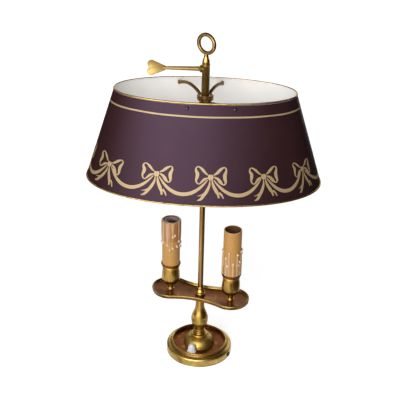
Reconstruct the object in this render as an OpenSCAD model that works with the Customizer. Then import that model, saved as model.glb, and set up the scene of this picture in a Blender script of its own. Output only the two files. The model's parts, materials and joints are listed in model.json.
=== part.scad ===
// Bouillotte lamp: a round dished foot, a turned baluster, a two-lobed tray with two
// candle cups, and an oval metal shade that slides on a rod and is held by a thumb screw.
// Millimetres, +Z up. The origin is at the middle of the foot, on the table.
// The tray's long axis lies along X.

/* [Foot] */
// Outer radius of the foot
base_r = 49.5; // [46:0.5:56]
// Height of the foot's upright side
base_side_h = 11.2; // [10.8:0.1:11.4]
// Radius of the raised lip around the dish
lip_r = 41.2; // [40:0.2:42]
// Height of the lip above the table
lip_z = 18.3; // [17.5:0.1:19]
// Height of the dish floor above the table
dish_z = 13; // [13:0.1:13.5]
// Angle of the cable inlet around the foot
inlet_angle = -9; // [-14:1:-4]

/* [Stem] */
// Largest radius of the baluster's bulb
bulb_r = 12.7; // [10:0.5:14]
// Radius of the rod that carries the shade
rod_r = 4; // [4:0.1:4]
// Height of the rod's top end above the table
rod_top_z = 464; // [440:1:500]

/* [Tray] */
// Height of the tray's underside above the table
tray_z = 97.8; // [95:0.1:115]
// Radius of each round lobe of the tray
lobe_r = 28.2; // [25:0.2:30]
// Half width of the tray's waist
waist_w = 19.6; // [16:0.2:21]
// Height of the tray's rolled edge above its underside
tray_h = 6.1; // [4.5:0.1:7]
// Distance of each candle from the rod
candle_x = 47; // [44:0.2:52]

/* [Candles] */
// Outer radius of a candle sleeve
sleeve_r = 13.25; // [13.25:0.05:13.5]
// Height of the sleeves' tops above the table
sleeve_top_z = 218.6; // [212:0.2:230]
// Depth of the left lamp holder's mouth below its sleeve's top
left_holder_drop = 1; // [1:0.5:12]
// Depth of the right lamp holder's mouth below its sleeve's top
right_holder_drop = 12.5; // [2:0.5:16]

/* [Shade] */
// Half length of the shade's bottom edge
shade_a_bottom = 165; // [155:1:175]
// Half width of the shade's bottom edge
shade_b_bottom = 91; // [85:1:97]
// Half length of the shade's top edge
shade_a_top = 124.4; // [118:0.2:130]
// Half width of the shade's top edge
shade_b_top = 50.6; // [48:0.2:56]
// Height of the middle of the bottom bead above the table
shade_bottom_z = 295.8; // [290:0.1:300]
// Height of the middle of the top bead above the table
shade_top_z = 425.8; // [424:0.1:428]
// Thickness of the shade's sheet metal
shade_t = 0.8; // [0.7:0.1:1.2]
// Squareness of the oval, where 2 is a true ellipse
oval_n = 2.085; // [2:0.005:2.2]
// Turn of the shade about the rod, from the tray's long axis
shade_turn = 14.2; // [0:0.2:20]

/* [Slider] */
// Outer radius of the sliding tube
slider_r = 5.45; // [5.2:0.05:5.6]
// Height of the thumb screw's axis above the table
screw_z = 456.5; // [450:0.5:457]
// Direction that the thumb screw points to
screw_angle = 196.5; // [0:0.5:359]
// Tilt of the screw's heart-shaped flag about its shank
flag_tilt = 27; // [-90:1:90]
// Reach of the thumb screw from the rod's axis
screw_reach = 79; // [70:1:90]

/* [Finial] */
// Radius of the finial ring, to the middle of its wire
ring_r = 12.6; // [12:0.05:15]
// Radius of the finial ring's wire
ring_wire_r = 2.7; // [2:0.05:3]
// Direction of the finial ring's plane
ring_angle = -18; // [-90:0.5:90]

/* [Hidden] */
$fn = 64;
slack = 0.05;      // radial clearance of a running fit
gap = 0.3;         // clearance between pieces that pass each other

// Foot
wall = 1.6;
pad_t = 1.4;
plate_t = 0.8;
plate_z = pad_t;
weight_z = plate_z + plate_t;
weight_r = 44.5;
channel_w = 7;       // ways for the wires under the foot
channel_top_z = 9.2;
feed_top_z = 6;
floor_z = dish_z - wall;
tube_r = 4;
tube_bore_r = 2.9;
tube_z = 5;
nut_h = 3;
nut_r = 7.5;
washer_r = 10;
washer_h = 1;
nut_z = weight_z + 2.8;
nut_pocket_r = 11;
nut_pocket_top_z = 9;
inlet_z = 6;
inlet_r = 3;
inlet_bore_r = 1.9;
bush_len = 5.6;

// Switch, in the front of the dish
switch_angle = -94;
switch_reach = 31.2;
switch_x = switch_reach * cos(switch_angle);
switch_y = switch_reach * sin(switch_angle);
switch_body_r = 9;
switch_body_z = 3;
bush_r = 4.5;
bush_top_z = 15.6;
ring_nut_r = 6;
ring_nut_h = 1.3;
button_z = dish_z + 1.6;
button_h = 12.6;
button_r = 7.2;
button_stem_r = 2;
spring_z = 6;
spring_r = 1.45;
spring_wire = 0.5;
spring_turns = 5;
stem_low_z = 11;

// Stem
dome_r = 23.8;
dome_top_z = 27;
dome_t = 1.2;
knop_r = 12.7;
knop_z = dome_top_z;
knop_h = 3.4;
baluster_z = knop_z + knop_h;

// Tray, and the wiring box below it
tray_t = 2.5;
tray_floor_z = tray_z + tray_t;
edge_t = 1.1;
bead_r = 1.1;
box_w = 8;
box_h = 5.1;
box_t = 0.8;
box_z = tray_z - box_h;
slot_w = 3;       // slots where the wires leave the stem tube
waist_arc_r = (pow(candle_x, 2) + pow(waist_w, 2) - pow(lobe_r, 2)) / (2 * (lobe_r - waist_w));
waist_join_x = candle_x * waist_arc_r / (waist_arc_r + lobe_r);
collar_r = 7.6;
collar_h = 12.8;
rod_z = tray_floor_z + 3;
rod_stud_r = 2;
rod_stud_len = 8;

// Candle cups and what they hold
cup_z = tray_floor_z;
spigot_r = 3;
spigot_bore_r = 1.6;
spigot_end_z = tray_z - 2.4;
seat_z = cup_z + 43.7;
sleeve_t = 1.55;
post_r = 4;
post_bore_r = 2.6;
post_z = cup_z + 8;
holder_r = 10.2;
holder_len = 34;
holder_foot_r = 7;
holder_foot_h = 6;
socket_r = 7;
socket_len = 20;
mouth_r = 8.8;       // the lamp holder's wide mouth, above its screw shell
mouth_h = 4;
shell_t = 0.5;
well_r = 5.5;        // well of the centre contact, below the screw shell
well_h = 2.8;
contact_r = 3.4;
contact_h = 2.4;
wire_r = 0.8;
lead_r = 1.3;
lead_bend = 0.08;      // extra radius where a wire turns
feed_r = 1.2;
bundle_r = 2.2;
wire_z = box_z + box_t + 0.1 + wire_r;
base_wire_z = 3.6;

// Shade
seg = 96;
rim_r = 1.5;
rim_flat = rim_r * cos(22.5);
wall_top_z = shade_top_z - rim_flat;
wall_bottom_z = shade_bottom_z + rim_flat;
wall_tilt = atan((shade_b_bottom - shade_b_top) / (shade_top_z - shade_bottom_z));
hub_r = 8;
hub_gap = 0.15;
hub_z = 403.2;
collar_top_z = 419;  // the hub's dished collar, which the arms leave
hub_collar_r = 11.4;
dish_bottom_z = 417.05;
disc_r = 7.6;
disc_h = 1.4;
disc_z = dish_bottom_z + hub_gap;
lock_r = 7.5;
lock_h = 4;
slider_top_z = rod_top_z - gap;
slider_z = hub_z - hub_gap - lock_h;
boss_r = 5.3;
boss_end = 8.7;
thread_r = 2;
arm_r = 2.3;
arm_z = shade_top_z - 6.4;
// Each arm's direction, the radius and height where it leaves the hub, and its arch
arms = [[-98, 7, 409, 1], [-36, 7, 409, 1], [81.5, 9.4, 414.8, 4.9], [142, 9.4, 414.8, 7.5]];
collar_low_z = 410.4;
arm_boss_r = 2.4;
arm_boss_len = 3.4;
boss_gap = 0.15;
fixing_r = 1.25;
fixing_len = 4.5;
head_r = 2.4;

// Thumb screw
shank_r = 2.6;
shank_root_r = 3.2;
neck = screw_reach - 25.2;
flag_lobe_r = 5.6;
flag_lobe_y = 4.9;
flag_t = 2.4;

// Finial
finial_z = rod_top_z;
ring_rise = 27.5;
ring_z = rod_top_z + ring_rise;

// Points on an arc in a profile, from angle a0 to a1
function arc(cx, cy, r, a0, a1, n = 8) =
    [for (i = [0:n]) let (a = a0 + (a1 - a0) * i / n) [cx + r * cos(a), cy + r * sin(a)]];

// Points on a smooth curve from p0 to p3, pulled towards p1 and p2
function curve(p0, p1, p2, p3, n = 8) =
    [for (i = [0:n]) let (t = i / n, s = 1 - t)
        s * s * s * p0 + 3 * s * s * t * p1 + 3 * s * t * t * p2 + t * t * t * p3];

// The oval of the shade: half length a, half width b
function oval_point(a, b, t) =
    [a * sign(cos(t)) * pow(abs(cos(t)), 2 / oval_n), b * sign(sin(t)) * pow(abs(sin(t)), 2 / oval_n)];

// How far along from the bottom bead (0) to the top bead (1) a height lies
function rise(z) = (z - shade_bottom_z) / (shade_top_z - shade_bottom_z);
function shade_a(z) = shade_a_bottom + (shade_a_top - shade_a_bottom) * rise(z);
function shade_b(z) = shade_b_bottom + (shade_b_top - shade_b_bottom) * rise(z);

// Distance from the rod's axis to the middle of the shade's sheet, in a direction
function shade_reach(z, direction) =
    let (t = direction - shade_turn)
    pow(pow(abs(cos(t)) / shade_a(z), oval_n) + pow(abs(sin(t)) / shade_b(z), oval_n), -1 / oval_n);

// Faces that close rings of points into a hoop: rings * around points in all
function hoop_faces(rings, around) =
    [for (i = [0:around - 1], j = [0:rings - 1])
        let (k = (i + 1) % around, m = (j + 1) % rings)
        each [[i * rings + j, k * rings + m, k * rings + j], [i * rings + j, i * rings + m, k * rings + m]]];

// A hoop along the oval. Each corner of its section is [offset from the oval, height]
module oval_hoop(section) {
    rings = len(section);
    points = [for (i = [0:seg - 1], p = section)
        let (q = oval_point(shade_a(p[1]) + p[0], shade_b(p[1]) + p[0], 360 * i / seg)) [q[0], q[1], p[1]]];
    rotate([0, 0, shade_turn]) polyhedron(points, hoop_faces(rings, seg), convexity = 4);
}

// A bead of eight flats along the oval, at height z. Its offset follows the oval at z
module oval_bead(z) {
    a = shade_a(z);
    b = shade_b(z);
    points = [for (i = [0:seg - 1], j = [0:7])
        let (c = 22.5 + 45 * j, q = oval_point(a + rim_r * cos(c), b + rim_r * cos(c), 360 * i / seg))
        [q[0], q[1], z + rim_r * sin(c)]];
    rotate([0, 0, shade_turn]) polyhedron(points, hoop_faces(8, seg), convexity = 4);
}

module ring(r, bore, z, h) {
    translate([0, 0, z]) difference() {
        cylinder(r = r, h = h);
        translate([0, 0, -1]) cylinder(r = bore, h = h + 2);
    }
}

module hex_nut(r, bore, z, h) {
    translate([0, 0, z]) difference() {
        cylinder(r = r, h = h, $fn = 6);
        translate([0, 0, -1]) cylinder(r = bore, h = h + 2);
    }
}

// A straight wire between two points
module wire(a, b, r) {
    d = b - a;
    flat = sqrt(d[0] * d[0] + d[1] * d[1]);
    translate(a) rotate([0, atan2(flat, d[2]), atan2(d[1], d[0])])
        cylinder(r = r, h = norm(d), $fn = 24);
}

module towards_inlet(z) {
    rotate([0, 0, inlet_angle]) translate([0, 0, z]) rotate([0, 90, 0]) children();
}

// ---- Foot ----

module base_shell() {
    outer = concat([[base_r - wall, 0.3], [base_r - 0.2, 0.3], [base_r, 0.6], [base_r, base_side_h]],
        curve([base_r, base_side_h], [base_r - 0.1, 12.4], [48, 13.2], [lip_r + 3.2, 14.5]),
        [[lip_r + 1.6, lip_z - 1.2]],
        arc(lip_r, lip_z - 1.2, 1.2, 30, 180),
        curve([lip_r - 1.2, lip_z - 1.4], [lip_r - 1.3, dish_z + 1.2], [lip_r - 1.6, dish_z],
            [lip_r - 2.7, dish_z]));
    inner = [[tube_r + 0.1, dish_z], [tube_r + 0.1, floor_z], [lip_r - 2, floor_z],
        [lip_r - 0.4, floor_z + 1.2], [45.6, 12.9], [base_r - wall, 9.4]];
    color("#8f6d33") difference() {
        rotate_extrude($fn = 96) polygon(concat(outer, inner));
        translate([switch_x, switch_y, 0]) cylinder(r = bush_r + 0.1, h = 30);
        towards_inlet(inlet_z) translate([0, 0, 40]) cylinder(r = inlet_r, h = 20);
    }
}

module base_weight() {
    color("#4b4744") difference() {
        translate([0, 0, weight_z]) cylinder(r = weight_r, h = floor_z - weight_z);
        cylinder(r = nut_pocket_r, h = nut_pocket_top_z);
        translate([0, 0, -1]) cylinder(r = tube_r + 0.1, h = 30);
        translate([switch_x, switch_y, -1]) cylinder(r = switch_body_r + gap, h = 30);
        rotate([0, 0, inlet_angle]) translate([5, -channel_w / 2, 0])
            cube([base_r, channel_w, channel_top_z]);
        rotate([0, 0, switch_angle]) translate([5, -channel_w / 2, 0])
            cube([switch_reach - 6, channel_w, feed_top_z]);
    }
}

module base_plate() {
    color("#77736d") translate([0, 0, plate_z]) cylinder(r = base_r - wall - gap, h = plate_t);
}

module base_pad() {
    color("#3b4a3a") cylinder(r = base_r - wall - gap, h = pad_t);
}

module cable_inlet_bush() {
    color("#1d1a18") towards_inlet(inlet_z) difference() {
        union() {
            translate([0, 0, base_r - bush_len + 1]) cylinder(r = inlet_r, h = bush_len - 1);
            translate([0, 0, base_r]) cylinder(r = inlet_r + 0.8, h = 1);
        }
        translate([0, 0, 30]) cylinder(r = inlet_bore_r, h = 40);
    }
}

// ---- Switch ----

module switch_body() {
    color("#d9d5cb") translate([switch_x, switch_y, 0]) difference() {
        union() {
            translate([0, 0, switch_body_z]) cylinder(r = switch_body_r, h = floor_z - switch_body_z);
            translate([0, 0, floor_z]) cylinder(r = bush_r, h = bush_top_z - floor_z);
        }
        translate([0, 0, spring_z]) cylinder(r = button_stem_r + slack, h = 30);
    }
}

module switch_ring_nut() {
    color("#b9b4a8") translate([switch_x, switch_y, 0]) ring(ring_nut_r, bush_r, dish_z, ring_nut_h);
}

module switch_spring() {
    steps = spring_turns * 12;
    pitch_h = stem_low_z - spring_z - spring_wire;
    w = spring_wire / 2;
    ring_points = [for (i = [0:steps], j = [0:5])
        let (a = 30 * i, c = 60 * j, r = spring_r + w * cos(c))
        [r * cos(a), r * sin(a), spring_z + w + pitch_h * i / steps + w * sin(c)]];
    sides = [for (i = [0:steps - 1], j = [0:5]) let (k = (j + 1) % 6)
        each [[6 * i + j, 6 * i + k, 6 * i + 6 + k], [6 * i + j, 6 * i + 6 + k, 6 * i + 6 + j]]];
    ends = [[5, 4, 3, 2, 1, 0], [for (j = [0:5]) 6 * steps + j]];
    color("#9a9a98") translate([switch_x, switch_y, 0])
        polyhedron(ring_points, concat(sides, ends), convexity = 10);
}

module switch_button() {
    cap_z = 9.4;
    profile = concat([[0, 0], [button_r - 0.3, 0]],
        curve([button_r, 0.4], [button_r - 0.2, 1.6], [button_r - 1, 1.8], [button_r - 1.2, 3]),
        [[4.3, cap_z], [3.6, cap_z + 0.3]],
        arc(0, button_h - 3.4, 3.4, 10, 90));
    color("#e6e8ea") translate([switch_x, switch_y, button_z]) {
        difference() {
            rotate_extrude() polygon(profile);
            translate([0, 0, -1]) cylinder(r = ring_nut_r + gap, h = 3);
            translate([0, 0, -1]) cylinder(r = bush_r + gap, h = 5);
        }
        translate([0, 0, stem_low_z - button_z]) cylinder(r = button_stem_r, h = button_z - stem_low_z + 5);
    }
}

// ---- Stem ----

module dome() {
    outer = concat([[dome_r, dish_z], [dome_r, dish_z + 0.8]],
        curve([dome_r - 0.3, dish_z + 1.4], [dome_r - 2, dish_z + 8],
            [17, dome_top_z - 0.4], [11, dome_top_z]));
    inner = concat([[tube_r + 0.1, dome_top_z], [tube_r + 0.1, dome_top_z - dome_t]],
        curve([10.5, dome_top_z - dome_t], [16.2, dome_top_z - dome_t - 0.4],
            [dome_r - 3.5, dish_z + 7], [dome_r - 1.6, dish_z]));
    color("#d9b85a") rotate_extrude($fn = 96) polygon(concat(outer, inner));
}

module knop() {
    color("#d0a94e") rotate_extrude() polygon(concat([[tube_r + 0.1, knop_z], [11, knop_z]],
        arc(knop_r - 1.7, knop_z + 1.7, 1.7, -80, 90), [[tube_r + 0.1, baluster_z]]));
}

module baluster() {
    z = baluster_z;
    profile = concat([[tube_r + 0.1, z], [9.6, z]],
        arc(8.5, z + 1.3, 1.3, -70, 80, 6),
        arc(8.1, z + 3.9, 1.2, -70, 80, 6),
        arc(7.1, z + 6.6, 1.1, -70, 80, 6),
        curve([7.3, z + 8.1], [7.2, z + 9.4], [7.4, z + 10.2], [8, z + 10.9]),
        curve([8.2, z + 11.3], [bulb_r - 1.6, z + 13.2], [bulb_r, z + 19], [bulb_r, z + 26.5], 12),
        curve([bulb_r, z + 26.5], [bulb_r, z + 36], [7, z + 39.5], [6.6, z + 50], 14),
        [[6.5, z + 57], [7, box_z], [tube_r + 0.1, box_z]]);
    color("#b98d42") rotate_extrude() polygon(profile);
}

module stem_tube() {
    color("#a88a4a") difference() {
        translate([0, 0, tube_z]) cylinder(r = tube_r, h = rod_z - tube_z);
        cylinder(r = tube_bore_r, h = 300);
        translate([-tube_r - 1, -slot_w / 2, box_z + box_t]) cube([2 * tube_r + 2, slot_w, slot_w]);
    }
}

module stem_nut() {
    color("#b2903f") hex_nut(nut_r, tube_r, nut_z, nut_h);
}

module stem_washer() {
    color("#8d8b88") ring(washer_r, tube_r + 0.1, nut_z + nut_h, washer_h);
}

// ---- Wiring ----

module wiring() {
    in_end = base_r - bush_len;
    at_inlet = [in_end * cos(inlet_angle), in_end * sin(inlet_angle), inlet_z];
    inner = [12 * cos(inlet_angle), 12 * sin(inlet_angle), base_wire_z];
    middle = [0, 0, base_wire_z];
    at_switch = [switch_x + 0.6, switch_y + switch_body_r + 1, base_wire_z];
    color("#6b5a45") {
        wire(at_inlet, inner, lead_r);
        translate(inner) sphere(r = lead_r + lead_bend, $fn = 24);
        wire(inner, middle, lead_r);
        wire(middle, at_switch, feed_r);
        translate([0, 0, base_wire_z - lead_r])
            cylinder(r = bundle_r, h = wire_z + wire_r + 2 * lead_r - base_wire_z, $fn = 32);
        for (s = [-1, 1]) {
            corner = [s * candle_x, 0, wire_z];
            top_z = holder_top(s) - holder_len + 3;
            wire([0, 0, wire_z], corner, wire_r);
            translate(corner) sphere(r = wire_r + lead_bend, $fn = 24);
            wire(corner, [s * candle_x, 0, top_z], wire_r);
        }
    }
}

module wiring_box() {
    color("#a8853c") difference() {
        translate([0, 0, box_z]) stadium(box_w, box_h);
        translate([0, 0, box_z + box_t]) stadium(box_w - box_t, box_h);
        cylinder(r = tube_r + 0.1, h = 200);
    }
}

// A round-ended bar from candle to candle
module stadium(r, h) {
    for (s = [-1, 1]) translate([s * candle_x, 0, 0]) cylinder(r = r, h = h);
    translate([-candle_x, -r, 0]) cube([2 * candle_x, 2 * r, h]);
}

// ---- Tray ----

// The tray's outline, drawn in by an inset all round
module tray_outline(inset) {
    difference() {
        union() {
            for (s = [-1, 1]) translate([s * candle_x, 0]) circle(r = lobe_r - inset, $fn = 96);
            square([2 * waist_join_x, 2 * (lobe_r - inset)], center = true);
        }
        for (s = [-1, 1]) translate([0, s * (waist_w + waist_arc_r)])
            circle(r = waist_arc_r + inset, $fn = 180);
    }
}

module tray() {
    bead_z = tray_z + tray_h - 2 * bead_r;
    color("#8a6128") difference() {
        union() {
            translate([0, 0, tray_z]) linear_extrude(tray_t) tray_outline(0.9);
            translate([0, 0, tray_z]) linear_extrude(tray_h) difference() {
                tray_outline(0.5);
                tray_outline(0.5 + edge_t);
            }
            translate([0, 0, bead_z]) linear_extrude(2 * bead_r) difference() {
                tray_outline(0);
                tray_outline(2 * bead_r);
            }
        }
        translate([0, 0, tray_z - 1]) cylinder(r = tube_r + 0.1, h = 5);
        for (s = [-1, 1]) translate([s * candle_x, 0, tray_z - 1]) cylinder(r = spigot_r + 0.1, h = 5);
    }
}

module tray_collar() {
    z = tray_floor_z;
    profile = concat([[rod_r, z], [collar_r - 0.4, z]],
        arc(collar_r - 1.2, z + 1.3, 1.2, -70, 80, 6),
        [[6.2, z + 2.9]],
        arc(5.5, z + 4.6, 1.4, -60, 60, 6),
        curve([6, z + 6.3], [5.3, z + 7.2], [4.9, z + 8.6], [4.6, z + 9.8]),
        [[5.1, z + 10.4], [5.1, z + collar_h - 0.5], [4.7, z + collar_h]],
        [[rod_r, z + collar_h]]);
    color("#d2ab50") rotate_extrude() polygon(profile);
}

module rod() {
    color("#9b7433") difference() {
        translate([0, 0, rod_z]) cylinder(r = rod_r, h = rod_top_z - rod_z);
        translate([0, 0, rod_top_z - rod_stud_len]) cylinder(r = rod_stud_r, h = 20);
    }
}

module finial() {
    z = finial_z;
    ring_low_z = ring_z - ring_r;
    stud_z = z - rod_stud_len + 0.5;
    stem = concat([[0, stud_z], [rod_stud_r, stud_z], [rod_stud_r, z], [4.9, z]],
        arc(4.4, z + 0.9, 0.9, -60, 60, 6),
        [[4.6, z + 2], [4.6, z + 2.4], [5.1, z + 2.8]],
        curve([5.1, z + 2.8], [4.9, z + 5.5], [3.4, z + 7.5], [3.1, z + 10.5], 6),
        [[2.5, ring_low_z - 1.2], [0, ring_low_z]]);
    color("#b8903f") {
        rotate_extrude() polygon(stem);
        translate([0, 0, ring_z]) rotate([90, 0, ring_angle]) rotate_extrude($fn = 96)
            translate([ring_r, 0]) circle(r = ring_wire_r, $fn = 32);
    }
}

// ---- Candle cups and lamp holders ----

module cup(side) {
    z = cup_z;
    outer = concat([[spigot_bore_r, spigot_end_z], [spigot_r, spigot_end_z], [spigot_r, z]],
        [[5.5, z], [5.5, z + 1.2]],
        curve([5.4, z + 1.8], [4, z + 2.2], [3.9, z + 3], [3.9, z + 5.6], 6),
        curve([3.9, z + 6.4], [7.5, z + 9.6], [13.7, z + 13], [13.7, z + 21], 12),
        curve([13.7, z + 21], [13.7, z + 29], [12.7, z + 32.5], [12.2, z + 36.4], 10),
        [[11.6, z + 36.8], [11.6, z + 37.6], [12.7, z + 38.1], [12.8, z + 40.2]],
        curve([12.3, z + 40.9], [12.7, z + 41.8], [14.4, z + 42], [14.6, z + 43.8], 8),
        [[14.6, z + 45.7], [sleeve_r + gap, z + 45.7]]);
    inner = concat([[sleeve_r + gap, seat_z], [11.2, seat_z], [9.9, z + 37], [9.9, z + 32]],
        curve([9.9, z + 32], [10, z + 28], [12.4, z + 25], [12.4, z + 20.5], 6),
        curve([12.4, z + 20.5], [12.2, z + 16], [8.5, z + 12.4], [6.5, z + 12], 6),
        [[post_r, z + 12], [post_r, post_z], [spigot_bore_r, post_z]]);
    color("#b28a3c") translate([side * candle_x, 0, 0]) rotate_extrude() polygon(concat(outer, inner));
}

module cup_left() { cup(-1); }
module cup_right() { cup(1); }

module cup_nuts() {
    for (s = [-1, 1]) color("#a9853d") translate([s * candle_x, 0, 0])
        hex_nut(5.5, spigot_r, spigot_end_z + 0.1, tray_z - spigot_end_z - 0.1);
}

function holder_top(side) = sleeve_top_z - (side < 0 ? left_holder_drop : right_holder_drop);
function socket_z(side) = holder_top(side) - mouth_h - socket_len;

module holder_post(side) {
    color("#a88a4a") translate([side * candle_x, 0, 0])
        ring(post_r, post_bore_r, post_z, holder_top(side) - holder_len + holder_foot_h - 1 - post_z);
}

module holder_post_left() { holder_post(-1); }
module holder_post_right() { holder_post(1); }

module lampholder(side) {
    top = holder_top(side);
    low = top - holder_len;
    color("#8f8a8c") translate([side * candle_x, 0, 0]) difference() {
        union() {
            translate([0, 0, low + holder_foot_h]) cylinder(r = holder_r, h = holder_len - holder_foot_h);
            translate([0, 0, low]) cylinder(r = holder_foot_r, h = holder_foot_h);
        }
        translate([0, 0, low - 1]) cylinder(r = post_r, h = holder_foot_h);
        translate([0, 0, low - 1]) cylinder(r = post_bore_r, h = 12);
        translate([0, 0, socket_z(side) - well_h]) cylinder(r = well_r, h = 40);
        translate([0, 0, socket_z(side)]) cylinder(r = socket_r + shell_t, h = 40);
        translate([0, 0, top - mouth_h]) cylinder(r = mouth_r, h = 20);
    }
}

module lampholder_left() { lampholder(-1); }
module lampholder_right() { lampholder(1); }

module socket_shell(side) {
    color("#c2a45c") translate([side * candle_x, 0, 0])
        ring(socket_r + shell_t, socket_r, socket_z(side), socket_len);
}

module socket_shell_left() { socket_shell(-1); }
module socket_shell_right() { socket_shell(1); }

module socket_contacts() {
    for (s = [-1, 1]) color("#c9a95a") translate([s * candle_x, 0, socket_z(s) - well_h]) {
        cylinder(r = contact_r, h = contact_h / 3);
        cylinder(r = 0.6 * contact_r, h = contact_h);
    }
}

module sleeve(side) {
    color(side < 0 ? "#c9a26a" : "#bf8f52") translate([side * candle_x, 0, 0])
        ring(sleeve_r, sleeve_r - sleeve_t, seat_z, sleeve_top_z - seat_z);
}

module sleeve_left() { sleeve(-1); }
module sleeve_right() { sleeve(1); }

// ---- Slider ----

module along_screw() {
    translate([0, 0, screw_z]) rotate([0, 0, screw_angle]) rotate([0, 90, 0]) children();
}

module slider_tube() {
    color("#8a662c") difference() {
        union() {
            translate([0, 0, slider_z]) cylinder(r = slider_r, h = slider_top_z - slider_z);
            along_screw() cylinder(r = boss_r, h = boss_end);
        }
        translate([0, 0, slider_z - 1]) cylinder(r = rod_r + slack, h = 100);
        along_screw() cylinder(r = thread_r + slack, h = 20);
    }
}

// The disc that keeps the hub on the slider. It lies in the dish of the hub's collar
module slider_disc() {
    color("#c9a868") ring(disc_r, slider_r, disc_z, disc_h);
}

module slider_lock_nut() {
    color("#8a662c") ring(lock_r, slider_r, slider_z, lock_h);
}

module thumb_screw() {
    shank = boss_end + gap;
    color("#d9bf62") along_screw() {
        translate([0, 0, rod_r + gap]) cylinder(r = thread_r, h = shank - rod_r);
        translate([0, 0, shank]) cylinder(r = shank_root_r + 0.5, h = 1);
        translate([0, 0, shank + 1]) cylinder(r1 = shank_root_r, r2 = shank_r, h = neck - shank - 1);
        rotate([0, 0, flag_tilt]) translate([0, flag_t / 2, 0]) rotate([90, 0, 0])
            linear_extrude(flag_t) flag_outline();
    }
}

// A heart whose point is the shank: its lobes lie at the screw's far end
module flag_outline() {
    lobe = screw_reach - flag_lobe_r;
    run = lobe - neck;
    lean = asin((flag_lobe_r - shank_r) / run) + atan2(flag_lobe_y, run);
    edge = [flag_lobe_y + flag_lobe_r * cos(lean), lobe - flag_lobe_r * sin(lean)];
    for (s = [-1, 1]) translate([s * flag_lobe_y, lobe]) circle(r = flag_lobe_r, $fn = 48);
    polygon([[-0.8 * shank_r, neck - 3], [0.8 * shank_r, neck - 3], [shank_r, neck], edge,
        [flag_lobe_y, lobe], [0, lobe + 2], [-flag_lobe_y, lobe], [-edge[0], edge[1]], [-shank_r, neck]]);
}

// ---- Shade ----

// Where a fixing screw goes through the middle of the shade's sheet, in a direction
function fixing_point(direction) =
    let (r = shade_reach(arm_z, direction)) [r * cos(direction), r * sin(direction), arm_z];

// Direction in plan that the sheet faces where a fixing screw goes through it
function wall_facing(direction) =
    let (t = direction - shade_turn)
    shade_turn + atan2(sign(sin(t)) * pow(abs(sin(t)) / shade_b(arm_z), oval_n - 1) / shade_b(arm_z),
        sign(cos(t)) * pow(abs(cos(t)) / shade_a(arm_z), oval_n - 1) / shade_a(arm_z));

// Places its children on a fixing screw's axis, +Z out through the sheet
module at_fixing(direction) {
    translate(fixing_point(direction)) rotate([0, 90 - wall_tilt, wall_facing(direction)]) children();
}

// An arm that arches from the hub to the sheet, with a tapped boss at its end
module spider_arm(direction, root, root_z, arch) {
    facing = wall_facing(direction);
    inset = shade_t / 2 + boss_gap + arm_boss_len;
    bend = fixing_point(direction)
        - inset * [cos(facing) * cos(wall_tilt), sin(facing) * cos(wall_tilt), sin(wall_tilt)];
    run = sqrt(bend[0] * bend[0] + bend[1] * bend[1]) - root;
    climb = bend[2] - root_z;
    chord = sqrt(run * run + climb * climb);
    bend_r = (chord * chord / 4 + arch * arch) / (2 * arch);
    half = asin(chord / 2 / bend_r);
    rotate([0, 0, atan2(bend[1], bend[0])]) translate([root, 0, root_z])
        rotate([0, -atan2(climb, run), 0]) translate([chord / 2, 0, arch - bend_r])
            rotate([90, 0, 0]) rotate([0, 0, 90 - half]) rotate_extrude(angle = 2 * half, $fn = 180)
                translate([bend_r, 0]) circle(r = arm_r, $fn = 32);
    translate(bend) sphere(r = arm_r + 0.2, $fn = 32);
    at_fixing(direction) translate([0, 0, -inset]) cylinder(r = arm_boss_r, h = arm_boss_len, $fn = 32);
}

// The hub: a tube below, and a rounded collar with a dished top
function hub_profile() = concat(
    [[slider_r - 1, hub_z], [hub_r, hub_z], [hub_r, collar_low_z]],
    curve([hub_r, collar_low_z], [hub_r, collar_low_z + 1.4], [hub_collar_r, collar_low_z + 1.4],
        [hub_collar_r, collar_low_z + 3.6]),
    arc(hub_collar_r - 0.9, collar_top_z - 0.9, 0.9, 0, 90, 4),
    [[disc_r + 1.2, dish_bottom_z + 0.6], [disc_r + 0.5, dish_bottom_z], [slider_r - 1, dish_bottom_z]]);

module shade_spider() {
    color("#86642c") difference() {
        union() {
            rotate_extrude() polygon(hub_profile());
            for (a = arms) spider_arm(a[0], a[1], a[2], a[3]);
        }
        translate([0, 0, hub_z - 1]) cylinder(r = slider_r + slack, h = 40);
        for (a = arms) at_fixing(a[0]) translate([0, 0, -fixing_len]) cylinder(r = fixing_r, h = 20);
    }
}

module shade_wall() {
    h = shade_t / 2;
    color("#4a3640") difference() {
        oval_hoop([[h, wall_bottom_z], [h, wall_top_z], [-h, wall_top_z], [-h, wall_bottom_z]]);
        for (a = arms) at_fixing(a[0]) translate([0, 0, -5]) cylinder(r = fixing_r + 0.1, h = 10);
    }
}

module shade_top_bead() {
    color("#e2c878") oval_bead(shade_top_z);
}

module shade_bottom_bead() {
    color("#dcc070") oval_bead(shade_bottom_z);
}

module shade_screws() {
    head_z = shade_t / 2 + 0.15;
    color("#3d3a3b") for (a = arms) at_fixing(a[0]) {
        translate([0, 0, -fixing_len]) cylinder(r = fixing_r, h = fixing_len + head_z);
        translate([0, 0, head_z]) rotate_extrude() polygon(concat([[0, 0], [head_r, 0], [head_r, 0.4]],
            curve([head_r - 0.1, 0.7], [head_r - 0.5, 1.4], [1, 1.8], [0, 1.8])));
    }
}

base_shell();
base_weight();
base_plate();
base_pad();
cable_inlet_bush();
switch_body();
switch_ring_nut();
switch_spring();
switch_button();
dome();
knop();
baluster();
stem_tube();
stem_nut();
stem_washer();
wiring();
wiring_box();
tray();
tray_collar();
rod();
finial();
cup_left();
cup_right();
cup_nuts();
holder_post_left();
holder_post_right();
lampholder_left();
lampholder_right();
socket_shell_left();
socket_shell_right();
socket_contacts();
sleeve_left();
sleeve_right();
slider_tube();
slider_disc();
slider_lock_nut();
thumb_screw();
shade_spider();
shade_wall();
shade_top_bead();
shade_bottom_bead();
shade_screws();
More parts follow.
